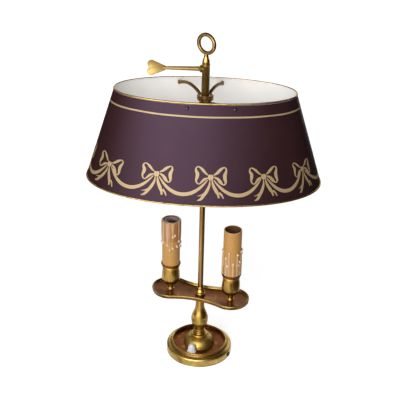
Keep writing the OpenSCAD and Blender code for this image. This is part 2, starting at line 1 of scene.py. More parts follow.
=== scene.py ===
"""Bouillotte lamp: the finish and the fine shapes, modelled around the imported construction."""

import contextlib
import json
import math
import random

import bmesh
import bpy
from bpy.props import FloatProperty, FloatVectorProperty, IntProperty, PointerProperty
from mathutils import Matrix, Vector


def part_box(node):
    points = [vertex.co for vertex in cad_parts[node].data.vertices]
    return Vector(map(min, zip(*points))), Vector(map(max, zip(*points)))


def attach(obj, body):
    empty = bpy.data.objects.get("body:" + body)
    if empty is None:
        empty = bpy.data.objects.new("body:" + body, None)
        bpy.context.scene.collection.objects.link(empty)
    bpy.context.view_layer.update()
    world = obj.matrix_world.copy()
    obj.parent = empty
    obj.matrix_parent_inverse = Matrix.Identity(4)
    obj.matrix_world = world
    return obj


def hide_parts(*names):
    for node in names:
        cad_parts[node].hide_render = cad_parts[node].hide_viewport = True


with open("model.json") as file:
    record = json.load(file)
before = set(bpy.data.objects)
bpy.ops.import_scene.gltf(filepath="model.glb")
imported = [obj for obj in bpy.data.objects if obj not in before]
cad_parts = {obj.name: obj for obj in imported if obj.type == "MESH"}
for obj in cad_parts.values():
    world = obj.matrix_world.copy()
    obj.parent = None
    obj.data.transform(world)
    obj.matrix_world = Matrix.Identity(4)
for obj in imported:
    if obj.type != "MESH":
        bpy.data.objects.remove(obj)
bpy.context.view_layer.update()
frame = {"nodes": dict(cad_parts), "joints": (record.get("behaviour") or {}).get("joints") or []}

bl_info = {
    "name": "Bouillotte Lamp",
    "version": (1, 0, 0),
    "blender": (4, 5, 0),
    "location": "View3D > Sidebar > Lamp",
    "description": "Models a bouillotte lamp piece by piece around its construction",
    "category": "Add Mesh",
}

MM = 0.001          # profiles and outlines are written in millimetres
STEPS = 96          # steps of a full turn on most lathe pieces
MERGE = 1e-6        # vertices closer than this are one
BORE = 4.1          # half the bore of the turned brass that the threaded stem goes through


# ---- Sizes and colours that a user would change ----

def linear(value):
    """An sRGB hex colour as linear red, green and blue."""
    parts = [int(value[i:i + 2], 16) / 255 for i in (1, 3, 5)]
    return tuple(c / 12.92 if c <= 0.04045 else ((c + 0.055) / 1.055) ** 2.4 for c in parts)


def number(name, about, value, **settings):
    """A number property."""
    return FloatProperty(name=name, description=about, default=value, **settings)


def length(name, about, size):
    """A length property, given in millimetres."""
    return number(name, about, size * MM, unit="LENGTH", precision=4)


def colour(name, about, value):
    """A colour property, given as an sRGB hex value."""
    return FloatVectorProperty(name=name, description=about, default=linear(value), subtype="COLOR",
                               size=3, min=0, max=1)


class LampFootSizes(bpy.types.PropertyGroup):
    """Foot, dome, switch and baluster"""
    lip: length("Lip radius", "Radius of the raised lip around the dish", 41.2)
    floor: length("Dish floor", "Height of the dish floor above the table", 13)
    sheet: length("Sheet", "Thickness of the spun brass", 1.6)
    bulb: length("Bulb radius", "Largest radius of the baluster", 12.7)
    flutes: IntProperty(name="Flutes", description="Flutes round the switch button", default=14)


class LampTraySizes(bpy.types.PropertyGroup):
    """Tray, wax and lamp holder"""
    lobe: length("Lobe radius", "Radius of each round end of the tray", 28.2)
    waist: length("Waist", "Half width of the tray at its middle", 19.8)
    edge: length("Edge", "Radius of the tray's rolled edge", 1.1)
    wax: length("Wax", "Thickness of the wax over a candle sleeve", 1.55)
    drop: length("Drop", "Radius of a drop of wax", 1.6)
    lean: number("Lean", "Lean of the left lamp holder in its sleeve", math.radians(1.6),
                 unit="ROTATION")


class LampShadeSizes(bpy.types.PropertyGroup):
    """Shade and its painted ornament"""
    sheet: length("Sheet", "Thickness of the shade's sheet metal", 0.8)
    line: length("Line height", "Height of the painted line above the table", 409.4)
    line_width: length("Line width", "Width of the painted line", 2)
    knots: length("Knot height", "Height of the bows' knots above the table", 333)
    relief: length("Relief", "Thickness of the gilding", 0.12)
    swag_drop: length("Swag drop", "How far the swags hang below the knots", 24.2)
    swag_width: length("Swag width", "Width of a swag at its lowest point", 4.8)
    brush: number("Brush", "Width of the bows' strokes against their drawing", 0.85)


class LampColours(bpy.types.PropertyGroup):
    """Colours of the finishes"""
    paint: colour("Paint", "Aubergine enamel outside the shade", "#341e20")
    lining: colour("Lining", "White enamel inside the shade", "#efedea")
    gilding: colour("Gilding", "Painted line, bows and swags", "#c6ab80")
    brass: colour("Brass", "Lacquered brass", "#a8843c")
    polished: colour("Polished", "Polished brass", "#caa450")
    # Browned brass, whose tone also serves as painted shade and painted dark reflection
    browned: colour("Browned", "Brass browned by age", "#78471a")
    sleeve: colour("Sleeve", "Candle sleeves", "#d29c54")


class LampStudio(bpy.types.PropertyGroup):
    """Strength of the light"""
    key: number("Key", "Power of the large lamp in front", 25, unit="POWER")
    top: number("Top", "Power of the lamp overhead", 14, unit="POWER")
    inside: number("Inside", "Power of the lamp in the shade", 0.05, unit="POWER")
    ambient: number("Ambient", "Strength of the light from all round", 0.12)


# ---- Profiles ----

def arc(x, z, radius, start, end, steps=8):
    """Points on a round stretch of a profile, between two angles in degrees."""
    turns = [math.radians(start + (end - start) * i / steps) for i in range(steps + 1)]
    return [(x + radius * math.cos(t), z + radius * math.sin(t)) for t in turns]


def curve(p0, p1, p2, p3, steps=8):
    """Points on a smooth stretch of a profile from p0 to p3, pulled towards p1 and p2."""
    points = []
    for i in range(steps + 1):
        t, s = i / steps, 1 - i / steps
        shares = (s ** 3, 3 * s * s * t, 3 * s * t * t, t ** 3)
        points.append(tuple(sum(w * p[k] for w, p in zip(shares, (p0, p1, p2, p3))) for k in (0, 1)))
    return points


def span(node):
    """A node's middle along X, its radius, its bottom and its top, in millimetres."""
    low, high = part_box(node)
    return (low.x + high.x) / 2 / MM, (high.y - low.y) / 2 / MM, low.z / MM, high.z / MM


# ---- Modelling ----

def choose(*pieces):
    """Selects these pieces and nothing else. The first is the active one."""
    bpy.ops.object.select_all(action="DESELECT")
    for piece in pieces:
        piece.select_set(True)
    bpy.context.view_layer.objects.active = pieces[0]


def begin(name, primitive, **settings):
    """Adds a primitive under a name, with nothing else selected."""
    bpy.ops.object.select_all(action="DESELECT")
    primitive(**settings)
    piece = bpy.context.object
    piece.name = piece.data.name = name
    return piece


@contextlib.contextmanager
def editing(piece, parts="VERT", selected=True):
    """Edit mode on one piece, with all or none of it selected."""
    choose(piece)
    bpy.ops.object.mode_set(mode="EDIT")
    bpy.ops.mesh.select_mode(type=parts)
    bpy.ops.mesh.select_all(action="SELECT" if selected else "DESELECT")
    yield
    bpy.ops.object.mode_set(mode="OBJECT")


def pick(piece, kind, test):
    """In edit mode, selects the verts, edges or faces that pass a test."""
    mesh = bmesh.from_edit_mesh(piece.data)
    for part in getattr(mesh, kind):
        part.select_set(test(part))
    mesh.select_flush(True)
    bmesh.update_edit_mesh(piece.data)


def modify(piece, kind, **settings):
    """Adds a modifier to a piece and applies it."""
    choose(piece)
    made = piece.modifiers.new(kind.lower(), kind)
    for key, value in settings.items():
        setattr(made, key, value)
    bpy.ops.object.modifier_apply(modifier=made.name)


def settle(piece):
    """Puts a piece's place into its mesh, so that its object lies at the origin."""
    choose(piece)
    bpy.ops.object.transform_apply(location=True, rotation=True, scale=True)


def reshape(piece, rule):
    """Moves every vertex by a rule on its place in millimetres."""
    for vertex in piece.data.vertices:
        vertex.co = Vector(rule(*(vertex.co / MM))) * MM
    piece.data.update()


def close_up(piece):
    """Merges the doubles and turns every face outwards."""
    with editing(piece):
        bpy.ops.mesh.remove_doubles(threshold=MERGE)
        bpy.ops.mesh.normals_make_consistent(inside=False)


def drawn(name, points):
    """A chain of edges along points in millimetres, drawn by extruding one vertex."""
    first = Vector(points[0]) * MM
    piece = begin(name, bpy.ops.mesh.primitive_plane_add, size=MM, location=first)
    with editing(piece):
        bpy.ops.mesh.merge(type="CENTER")
        for a, b in zip(points, points[1:]):
            step = (Vector(b) - Vector(a)) * MM
            bpy.ops.mesh.extrude_vertices_move(TRANSFORM_OT_translate={"value": step})
    return piece


def turned(name, profile, middle=0.0, steps=STEPS, closed=True):
    """A lathe piece: its profile of (radius, height) is drawn and spun about an upright axis."""
    chain = profile + profile[:1] if closed else profile
    piece = drawn(name, [(middle + r, 0, z) for r, z in chain])
    with editing(piece):
        bpy.ops.mesh.spin(steps=steps, angle=2 * math.pi, center=(middle * MM, 0, 0), axis=(0, 0, 1))
    settle(piece)
    close_up(piece)
    return piece


def plate(name, outline, z, thick):
    """A flat plate with a closed outline, from a height upwards, all in millimetres."""
    piece = drawn(name, [(x, y, z) for x, y in outline + outline[:1]])
    with editing(piece):
        bpy.ops.mesh.remove_doubles(threshold=MERGE)
        bpy.ops.mesh.select_all(action="SELECT")
        bpy.ops.mesh.edge_face_add()
        bpy.ops.mesh.extrude_region_move(TRANSFORM_OT_translate={"value": (0, 0, thick * MM)})
    settle(piece)
    close_up(piece)
    return piece


def drill(piece, radius, node, rotation=(0, 0, 0)):
    """Drills a hole of a radius in millimetres through a wall, at the middle of a node."""
    low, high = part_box(node)
    tool = begin("drill", bpy.ops.mesh.primitive_cylinder_add, radius=radius * MM, depth=20 * MM,
                 vertices=32, location=(low + high) / 2, rotation=rotation)
    modify(piece, "BOOLEAN", operation="DIFFERENCE", solver="EXACT", object=tool)
    bpy.data.objects.remove(tool)


def join(name, *pieces):
    """Joins pieces into one."""
    choose(*pieces)
    bpy.ops.object.join()
    pieces[0].name = pieces[0].data.name = name
    return pieces[0]


def copied(piece, name, across=0.0):
    """A copy with its own mesh, moved along X in millimetres."""
    twin = piece.copy()
    twin.data = piece.data.copy()
    twin.name = twin.data.name = name
    bpy.context.scene.collection.objects.link(twin)
    twin.data.transform(Matrix.Translation((across * MM, 0, 0)))
    return twin


def paint(piece, *finishes, rule=None):
    """Gives a piece its finishes. A rule picks each face's one by the face's middle in millimetres."""
    piece.data.materials.clear()
    for name in finishes:
        piece.data.materials.append(FINISHES[name])
    if rule:
        for face in piece.data.polygons:
            face.material_index = rule(*(face.center / MM))


def mount(piece, body, slot, *nodes, smooth=35):
    """Smooths a finished piece and mounts it on its body, in place of the nodes that it stands for."""
    choose(piece)
    bpy.ops.object.shade_smooth_by_angle(angle=math.radians(smooth))
    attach(piece, body)
    if nodes:
        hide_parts(*nodes)


def lathe(node, name, look, body, slot, profile, **settings):
    """Turns a piece that takes one finish, and mounts it in place of its node."""
    piece = turned(name, profile, **settings)
    paint(piece, look)
    mount(piece, body, slot, node)


# ---- Finishes ----

BUMPS = 0.1         # how far a finish's fine bumps stand out, in millimetres
MARKS = 0.5         # size of the fine marks on metal, in millimetres


def add(tree, kind, links=None, **settings):
    """Adds a shader node, with its settings, and its inputs filled or linked."""
    made = tree.nodes.new("ShaderNode" + kind)
    for key, value in settings.items():
        setattr(made, key, value)
    for key, value in (links or {}).items():
        if isinstance(value, bpy.types.NodeSocket):
            tree.links.new(value, made.inputs[key])
        else:
            made.inputs[key].default_value = value
    return made


def finish(name, **shader):
    """A new material. Returns it, its node tree and its shader."""
    made = bpy.data.materials.new(name)
    made.use_nodes = True
    tree = made.node_tree
    bsdf = tree.nodes["Principled BSDF"]
    for key, value in shader.items():
        bsdf.inputs[key.replace("_", " ")].default_value = value
    return made, tree, bsdf


def tone(value):
    """A linear colour, from an sRGB hex value or from a property, which is linear already."""
    return linear(value) if isinstance(value, str) else tuple(value)


def shaded(base, factor):
    """A linear colour made darker or lighter."""
    return tuple(min(1.0, c * factor) for c in base)


def coloured(tree, bsdf, value, *places):
    """Picks the base colour by a value, from stops that are each a place and a linear colour."""
    ramp = add(tree, "ValToRGB", {"Fac": value})
    band = ramp.color_ramp.elements
    while len(band) > 1:
        band.remove(band[-1])
    for i, (place, shade) in enumerate(places):
        stop = band[0] if i == 0 else band.new(place)
        stop.position = place
        stop.color = (*shade, 1)
    tree.links.new(ramp.outputs["Color"], bsdf.inputs["Base Color"])


def uneven(tree, bsdf, noise, strength):
    """Lets a noise raise and lower the surface a little."""
    bump = add(tree, "Bump", {"Height": noise.outputs["Fac"], "Strength": strength,
                              "Distance": BUMPS * MM})
    tree.links.new(bump.outputs[0], bsdf.inputs["Normal"])


def brass(name, dark, mid, light, across=7.0, along=60.0, roughness=0.3, coat=0.2):
    """A metal whose tone drifts in patches, sized in millimetres, under a coat of clear lacquer."""
    made, tree, bsdf = finish(name, Metallic=1.0, Roughness=roughness, Coat_Weight=coat,
                              Coat_Roughness=0.12)
    place = add(tree, "TexCoord").outputs["Object"]
    stretch = add(tree, "Mapping", {"Vector": place, "Scale": (1, 1, across / along)}).outputs[0]
    drift = add(tree, "TexNoise", {"Vector": stretch, "Scale": 1 / (across * MM), "Detail": 3.0,
                                   "Roughness": 0.55})
    coloured(tree, bsdf, drift.outputs["Fac"], (0.3, dark), (0.46, mid), (0.56, mid), (0.72, light))
    rough = add(tree, "MapRange", {"Value": drift.outputs["Fac"], "From Min": 0.3, "From Max": 0.7,
                                   "To Min": roughness + 0.1, "To Max": roughness - 0.05})
    tree.links.new(rough.outputs[0], bsdf.inputs["Roughness"])
    marks = add(tree, "TexNoise", {"Vector": place, "Scale": 1 / (MARKS * MM), "Detail": 2.0})
    uneven(tree, bsdf, marks, 0.02)
    return made


def skin(name, base, patch=1.5, detail=3.0, shades=(0.9, 1.06), grain=None, bumps=0.1, **shader):
    """A painted, moulded or cast surface, whose patches and finer grain have sizes in millimetres."""
    made, tree, bsdf = finish(name, **shader)
    place = add(tree, "TexCoord").outputs["Object"]
    drift = add(tree, "TexNoise", {"Vector": place, "Scale": 1 / (patch * MM), "Detail": detail})
    dark, light = (shaded(base, factor) for factor in shades)
    coloured(tree, bsdf, drift.outputs["Fac"], (0.3, dark), (0.7, light))
    if grain:
        fine = add(tree, "TexNoise", {"Vector": place, "Scale": 1 / (grain * MM), "Detail": 1.0})
        uneven(tree, bsdf, fine, bumps)
    elif bumps:
        uneven(tree, bsdf, drift, bumps)
    return made


def gilding(base):
    """Gold size and bronze powder, brushed on: pale at the edges, thinner and darker in the middle."""
    made, tree, bsdf = finish("brushed_gold_paint", Metallic=0.25, Roughness=0.5)
    across = add(tree, "SeparateXYZ", {"Vector": add(tree, "TexCoord").outputs["UV"]}).outputs["Y"]
    coloured(tree, bsdf, across, (0.0, base), (0.22, base), (0.5, shaded(base, 0.85)), (0.78, base),
             (1.0, base))
    return made


def wax(name, deep, pale, drop):
    """Wax-like resin: a little light goes in, and its tone follows the ridge stored on the mesh, up to
    a painted highlight on the drops.
    """
    made, tree, bsdf = finish(name, Roughness=0.3, Subsurface_Weight=0.1, Subsurface_Scale=2 * MM,
                              Subsurface_Radius=(1.0, 0.5, 0.2))
    ridge = add(tree, "Attribute", attribute_name="ridge").outputs["Fac"]
    coloured(tree, bsdf, ridge, (0.0, deep), (0.25, shaded(deep, 1.1)), (0.55, pale), (0.9, pale),
             (1.0, drop))
    return made


FINISHES = {}


def make_finishes(colours):
    """Makes every finish once, by name."""
    # Each metal's name, its dark, middle and light tone, and what sets it apart
    metals = {
        # Turned brass under old lacquer: olive and gold in upright streaks
        "lacquered": ("lacquered_brass", "#57431a", colours.brass, "#d4b052", dict(across=5)),
        # The same brass where it was spun flat: broad, quiet patches
        "spun": ("spun_brass", "#7d6228", "#a68a4c", "#c8ac64", dict(across=24, along=24)),
        # Drawn brass, toned brown in long streaks
        "drawn": ("drawn_brass", "#5d3f18", "#94703a", "#b8944e", dict(across=3, along=90)),
        # Brass polished bright on the high spots
        "polished": ("polished_brass", "#b08840", colours.polished, "#dabc70",
                     dict(across=16, along=30)),
        # Brass rubbed by fingers, its lacquer gone
        "rubbed": ("rubbed_brass", "#80662e", "#a2854c", "#b89c62",
                   dict(across=30, along=30, roughness=0.52, coat=0.0)),
        # The foot's shoulder slope, darker and duller: partly a painted dark reflection
        "shoulder": ("dulled_shoulder_brass", "#5c4020", "#80602e", "#9c7c42",
                     dict(across=24, along=24, roughness=0.34)),
        # The foot's dome: polished bare in places, olive lacquer left between them
        "patched": ("patched_brass", "#7a6630", "#bc9c4c", "#e4cc80",
                    dict(across=9, along=12, roughness=0.42)),
        # Bare brass browned where nobody polishes, also used for painted shade and painted dark
        # reflections
        "browned": ("browned_brass", "#52341a", colours.browned, "#8e6230",
                    dict(across=18, along=18, roughness=0.32, coat=0.0)),
        # The same in the foot's dish, redder: partly patina, partly a painted reddish reflection
        "reddened": ("reddened_brass", "#4a2812", "#7c461c", "#a86a2c",
                     dict(across=12, along=12, coat=0.0)),
        # Dull brass of the slider and the spider
        "dull": ("dull_brass", "#51381a", "#86672f", "#b08e4a", dict(roughness=0.34, coat=0.1)),
        # Gilt brass bead of the shade's edges
        "bead": ("gilt_bead", "#8a6c34", "#c4a868", "#e0cf9a", dict(across=9, along=9, roughness=0.35)),
        # Gilding worn thin, so that it looks pinkish
        "worn": ("worn_gilt", "#a87c5a", "#d0a888", "#e6ccb0", dict(across=9, along=9, roughness=0.4)),
        # Dull nickel, zinc-plated steel and blackened steel, without lacquer
        "nickel": ("dull_nickel", "#8c7c80", "#b5a5a8", "#c9bcbe", dict(roughness=0.4, coat=0.0)),
        "steel": ("zinc_plated_steel", "#6f6e6c", "#8f8d89", "#b3b1ac", dict(roughness=0.4, coat=0.0)),
        "screw": ("blackened_steel", "#252324", "#474345", "#8a8486",
                  dict(across=2, along=2, roughness=0.38, coat=0.0)),
    }
    for name, (label, dark, mid, light, settings) in metals.items():
        FINISHES[name] = brass(label, tone(dark), tone(mid), tone(light), **settings)

    # Each moulded, cast or paper piece's material, colour and roughness
    plain = {
        "sleeve": ("candle_sleeve_card", colours.sleeve, 0.5),
        "rim": ("worn_sleeve_rim", "#dcb483", 0.5),
        "card": ("brown_card", "#6e4628", 0.8),
        "holder": ("lamp_holder_plastic", "#9a888c", 0.4),
        "switch": ("switch_urea", "#f4f5f8", 0.28),
        "bush": ("brown_bush_rubber", "#4a2c16", 0.8),
        "insulation": ("wire_insulation", "#5d4a36", 0.55),
        "iron": ("cast_iron", "#3c3a38", 0.75),
        "felt": ("green_felt", "#2f4632", 0.95),
    }
    for name, (label, shade, roughness) in plain.items():
        FINISHES[name] = skin(label, tone(shade), Roughness=roughness)

    # Sprayed satin enamel: a faint mottle of spray and handling marks
    FINISHES["paint"] = skin("aubergine_satin_enamel", tone(colours.paint), patch=28, detail=4.0,
                             shades=(0.88, 1.1), grain=0.9, bumps=0.08, Roughness=0.4,
                             Specular_IOR_Level=0.36, Specular_Tint=(*linear("#e8c4f0"), 1))
    # White enamel inside the shade, greyed unevenly by lamp smoke
    FINISHES["lining"] = skin("white_enamel_lining", tone(colours.lining), patch=60, detail=5.0,
                              shades=(0.92, 1.03), bumps=0.0, Roughness=0.5, Specular_IOR_Level=0.4)
    FINISHES["gilding"] = gilding(tone(colours.gilding))
    # Resin run over the sleeves as wax: amber where it is thin, pale on its runs, and a near-white
    # painted highlight on its drops
    for name, deep, pale in (("amber", "#b47c3c", "#dcb088"), ("ochre", "#c08c4a", "#dcb488")):
        FINISHES[name] = wax(name + "_wax", linear(deep), linear(pale), linear("#f4dcc4"))


# ---- The oval of the shade ----

SQUARENESS = 2.085                   # 2 is a true ellipse
SHADE_TURN = math.radians(14.2)      # of the shade about the rod, from the tray's long axis
BOTTOM = (165.0, 91.0, 295.8)        # half length, half width and height of the bottom edge
TOP = (124.4, 50.6, 425.8)           # the same of the top edge
AROUND = 192                         # steps along the oval
# Length of the slanting sheet for each millimetre of height, at the middle of a long side
SLANT = math.hypot(TOP[2] - BOTTOM[2], BOTTOM[1] - TOP[1]) / (TOP[2] - BOTTOM[2])


def oval(turn, z, out=0.0, level=None):
    """A point on the oval at height z, out millimetres outside the middle of the sheet.

    The oval's size is that at z, or that at level where one is given.
    """
    rise = ((z if level is None else level) - BOTTOM[2]) / (TOP[2] - BOTTOM[2])
    a, b = (BOTTOM[k] + (TOP[k] - BOTTOM[k]) * rise + out for k in (0, 1))
    c, s = math.cos(turn), math.sin(turn)
    x = a * math.copysign(abs(c) ** (2 / SQUARENESS), c)
    y = b * math.copysign(abs(s) ** (2 / SQUARENESS), s)
    p = Matrix.Rotation(SHADE_TURN, 2) @ Vector((x, y))
    return p.x, p.y, z


def open_band(name):
    """An open band of faces, one high, to be laid round the shade: 1 mm in radius and 2 mm high."""
    return begin(name, bpy.ops.mesh.primitive_cylinder_add, vertices=AROUND, radius=MM, depth=2 * MM,
                 end_fill_type="NOTHING")


def arc_table(z, steps=1440):
    """How far along the oval each turn lies, at one height: pairs of distance and turn."""
    table, far = [(0.0, 0.0)], 0.0
    last = Vector(oval(0, z))
    for i in range(1, steps + 1):
        turn = 2 * math.pi * i / steps
        here = Vector(oval(turn, z))
        far += (here - last).length
        table.append((far, turn))
        last = here
    return table


def turn_at(table, distance):
    """The turn at a distance along the oval."""
    distance %= table[-1][0]
    low, high = 0, len(table) - 1
    while high - low > 1:
        half = (low + high) // 2
        low, high = (half, high) if table[half][0] <= distance else (low, half)
    share = (distance - table[low][0]) / (table[high][0] - table[low][0])
    return table[low][1] + share * (table[high][1] - table[low][1])


# ---- Strokes of paint ----

def along_points(points, per_span=4):
    """Points on a smooth line through these, each a tuple of the same length."""
    ends = [points[0], *points, points[-1]]
    line = []
    for p0, p1, p2, p3 in zip(ends, ends[1:], ends[2:], ends[3:]):
        for i in range(per_span):
            t = i / per_span
            line.append(tuple(0.5 * (2 * b + (c - a) * t + (2 * a - 5 * b + 4 * c - d) * t * t
                                     + (3 * b - a - 3 * c + d) * t ** 3)
                              for a, b, c, d in zip(p0, p1, p2, p3)))
    return line + [tuple(points[-1])]


def stroke(name, points, relief, columns=4):
    """A flat brush stroke along points of x, y and width, as a grid that is drawn out along them."""
    line = along_points(points)
    rows = len(line)
    piece = begin(name, bpy.ops.mesh.primitive_grid_add, x_subdivisions=rows - 1,
                  y_subdivisions=columns, size=2 * MM)

    def place(x, y, _):
        i = round((x + 1) / 2 * (rows - 1))
        a, b = line[max(i - 1, 0)], line[min(i + 1, rows - 1)]
        ahead = Vector((b[0] - a[0], b[1] - a[1])).normalized()
        side = y * line[i][2] / 2
        return line[i][0] - side * ahead.y, line[i][1] + side * ahead.x, relief * (1.15 - 0.4 * y * y)

    reshape(piece, place)
    return piece


# The strokes of a bow, in millimetres from the middle of its knot: across, up and the stroke's width
BOW_STROKES = (
    # Left and right loop
    [(-3.6, 3.2, 1.5), (-7.3, 6.2, 3.2), (-10.7, 10, 4), (-14, 12.9, 2.8), (-17.3, 14.2, 2),
     (-20, 12.1, 2.2), (-19.7, 8.3, 4), (-17.8, 4.6, 5.4), (-18.2, 0, 5), (-19.2, -4.2, 3),
     (-17.8, -7.9, 2), (-14.8, -9, 1.8), (-11.5, -5.8, 3), (-8.2, -2.5, 3.6), (-3.6, -0.7, 1.6)],
    [(3.9, 3.2, 1.6), (8.5, 6.2, 4), (12.7, 10.4, 4.4), (17.3, 13.5, 2.2), (20.6, 12.5, 2),
     (20.6, 8.3, 3.4), (18.9, 3.3, 5.4), (18.9, -1.7, 5), (19.8, -5.8, 3.4), (18.5, -9.2, 2),
     (16, -9.2, 2), (12.7, -5.8, 5), (9.3, -1.7, 4), (4.3, 0.8, 2)],
    # Left tail and its prong
    [(-1.1, -3.8, 1), (-1.5, -10, 3), (-4.4, -17.5, 4.5), (-8.2, -23.7, 4.5), (-12.3, -29.6, 3.6),
     (-16.9, -31.7, 0.8)],
    [(-8.2, -21.7, 2), (-12.8, -24.6, 1.6), (-16.9, -25.4, 0.6)],
    # Right tail and its prong
    [(1.8, -3.8, 1.6), (3.5, -10.8, 4), (7.3, -18.3, 5), (9.3, -22.5, 3.4), (10.6, -27.5, 2.6)],
    [(11, -20, 3), (14.3, -23.8, 2.6), (16.3, -28.3, 1.4)],
)
KNOT = [(0, 3.9, 4.6), (0, 2.6, 6.6), (0, 0, 7.2), (0, -2.2, 6.2), (0, -3.6, 4)]

# Each bow in front: its distance along the oval, its width, the height of its loops, its tilt in
# degrees and how far it hangs lower
FRONT_BOWS = [
    (372, 1, 1, 0, 0), (434.7, 0.96, 0.88, -6, 1), (506.6, 1, 0.87, 0, 0), (579.5, 1, 1, 0, 0),
    (650.8, 0.92, 0.9, 0, 0.6), (710.8, 0.72, 0.78, 0, 0),
]
BACK_BOWS = 5                        # evenly spaced round the rest of the oval


def bow_places(around):
    """Where the bows lie along the oval: those in front, then an even row behind."""
    first, last = FRONT_BOWS[0][0] + around, FRONT_BOWS[-1][0]
    step = (first - last) / (BACK_BOWS + 1)
    return FRONT_BOWS + [(last + step * (i + 1), 1, 1, 0, 0) for i in range(BACK_BOWS)]


def wrap(piece, table, sizes, at, widen=1.0, tall=1.0, tilt=0.0, lower=0.0):
    """Lays a flat piece on the outside of the shade, at a distance along the oval."""
    knots, surface = sizes.knots / MM - lower, sizes.sheet / MM / 2
    lean = math.radians(tilt)

    def place(x, y, h):
        y *= tall if y > 0 else 1
        across, up = x * math.cos(lean) - y * math.sin(lean), x * math.sin(lean) + y * math.cos(lean)
        return oval(turn_at(table, at + widen * across), knots + up / SLANT, surface + h)

    reshape(piece, place)


# ---- Operators ----

class LAMP_OT_foot(bpy.types.Operator):
    """Spins the dished foot, its dome and the ring above it"""
    bl_idname = "lamp.foot"
    bl_label = "Foot"

    def execute(self, context):
        sizes = context.scene.lamp_foot
        lip, floor, wall = sizes.lip / MM, sizes.floor / MM, sizes.sheet / MM
        _, r, low, top = span("base_shell")
        under = floor - wall
        outside = [(r - 0.2, low), (r, low + 0.3), (r, 1.6), (r - 0.3, 1.9), (r, 2.2)]
        outside += [(r, 11.0), (r - 0.15, 11.25)]
        outside += curve((r - 0.2, 11.3), (r - 0.4, 12.6), (r - 1.8, 13.2), (lip + 3.2, 14.5))
        outside += [(lip + 3.0, 14.45), (lip + 2.5, 15.4), (lip + 2.3, 15.3), (lip + 1.8, 16.4),
                    (lip + 1.6, 16.3)]
        outside += arc(lip + 0.85, 17.1, 0.65, -10, 165, 6)
        outside += arc(lip - 0.35, top - 0.75, 0.75, 30, 180, 7)
        outside += curve((lip - 1.1, top - 1.0), (lip - 1.3, floor + 1.2), (lip - 1.6, floor),
                         (lip - 2.7, floor))
        rings = [(lip - 3.4, floor), (lip - 3.7, floor - 0.25), (lip - 4.0, floor)]
        inside = [(BORE, floor), (BORE, under), (lip - 2, under), (lip - 0.4, under + 1.2),
                  (45.6, 12.9), (r - wall, 9.4), (r - wall, low)]
        foot = turned("foot", outside + rings + inside, steps=144)
        low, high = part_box("cable_inlet_bush")
        drill(foot, 3, "cable_inlet_bush", (0, math.pi / 2, math.atan2(low.y + high.y, low.x + high.x)))
        drill(foot, 4.7, "switch_ring_nut")

        def region(x, y, z):
            """Red-brown dish, polished lip and edge, darker shoulder slope: partly patina and wear,
            partly painted reflection and highlight.
            """
            reach = math.hypot(x, y)
            if reach < lip - 1.3 and z > under - 0.1:
                return 1
            if z > 11.2 and (reach > lip + 3.3 or lip - 1.2 < reach < lip + 1.4):
                return 3
            return 2 if reach > lip and z > 14 else 0

        paint(foot, "spun", "reddened", "shoulder", "polished", rule=region)
        mount(foot, "base", "brass_lacquered", "base_shell")

        _, r, low, top = span("dome")
        outside = [(r, low), (r, low + 0.8)]
        outside += curve((r - 0.3, low + 1.4), (r - 2, low + 8), (17, top - 0.4), (11, top), 20)
        inside = [(BORE, top), (BORE, top - 1.2)]
        inside += curve((10.5, top - 1.2), (16.2, top - 1.6), (r - 3.5, low + 7), (r - 1.6, low))
        lathe("dome", "dome_spun", "patched", "base", "brass_polished", outside + inside)

        _, r, low, top = span("knop")
        profile = [(BORE, low), (11, low), *arc(r - 1.7, low + 1.7, 1.7, -80, 90, 10), (BORE, top)]
        lathe("knop", "knop_ring", "polished", "base", "brass_polished", profile)
        return {"FINISHED"}


class LAMP_OT_switch(bpy.types.Operator):
    """Shapes the fluted switch button"""
    bl_idname = "lamp.switch"
    bl_label = "Switch button"

    def execute(self, context):
        flutes = context.scene.lamp_foot.flutes
        middle, r, low, top = span("switch_button")
        near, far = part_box("switch_button")
        across = (near.y + far.y) / 2 / MM
        z, nut_r, bush_r = 14.6, 6.3, 4.8   # the skirt's foot, and its hollows for the nut and the bush
        skirt = curve((r, z + 0.3), (r - 0.1, z + 1.5), (r - 1, z + 1.8), (r - 1.3, z + 3.2))
        skirt = [(r - 0.3, z), *skirt, (5.4, z + 8.6)]
        cap = [(5.0, z + 9.0), (4.6, z + 9.1), (4.3, z + 9.4), *arc(0.9, top - 2.7, 3.4, 12, 90, 6),
               (0, top + 0.7)]
        hollow = [(0, z + 4), (bush_r, z + 4), (bush_r, z + 2), (nut_r, z + 2), (nut_r, z)]
        button = turned("button", skirt + cap + hollow, middle, steps=6 * flutes)
        stem = turned("button_stem", [(0, low), (2, low), (2, z + 4.5), (0, z + 4.5)], middle, steps=32)

        def flute(x, y, height):
            """Scallops the outside of the skirt and leaves its hollows round."""
            reach, turn = math.hypot(x - middle, y), math.atan2(y, x - middle)
            smooth = any(abs(reach - inner) < 0.05 for inner in (bush_r, nut_r))
            if height < z + 8.95 and reach > 4.2 and not smooth:
                depth = 0.6 * max(0, min(1, (height - z - 1) / 2))
                reach -= depth * (0.5 + 0.5 * math.cos(flutes * turn))
            return middle + reach * math.cos(turn), across + reach * math.sin(turn), height

        reshape(button, flute)
        reshape(stem, lambda x, y, z: (x, y + across, z))
        button = join("button_moulded", button, stem)
        paint(button, "switch")
        mount(button, "switch_button", "switch_white", "switch_button", smooth=50)
        return {"FINISHED"}


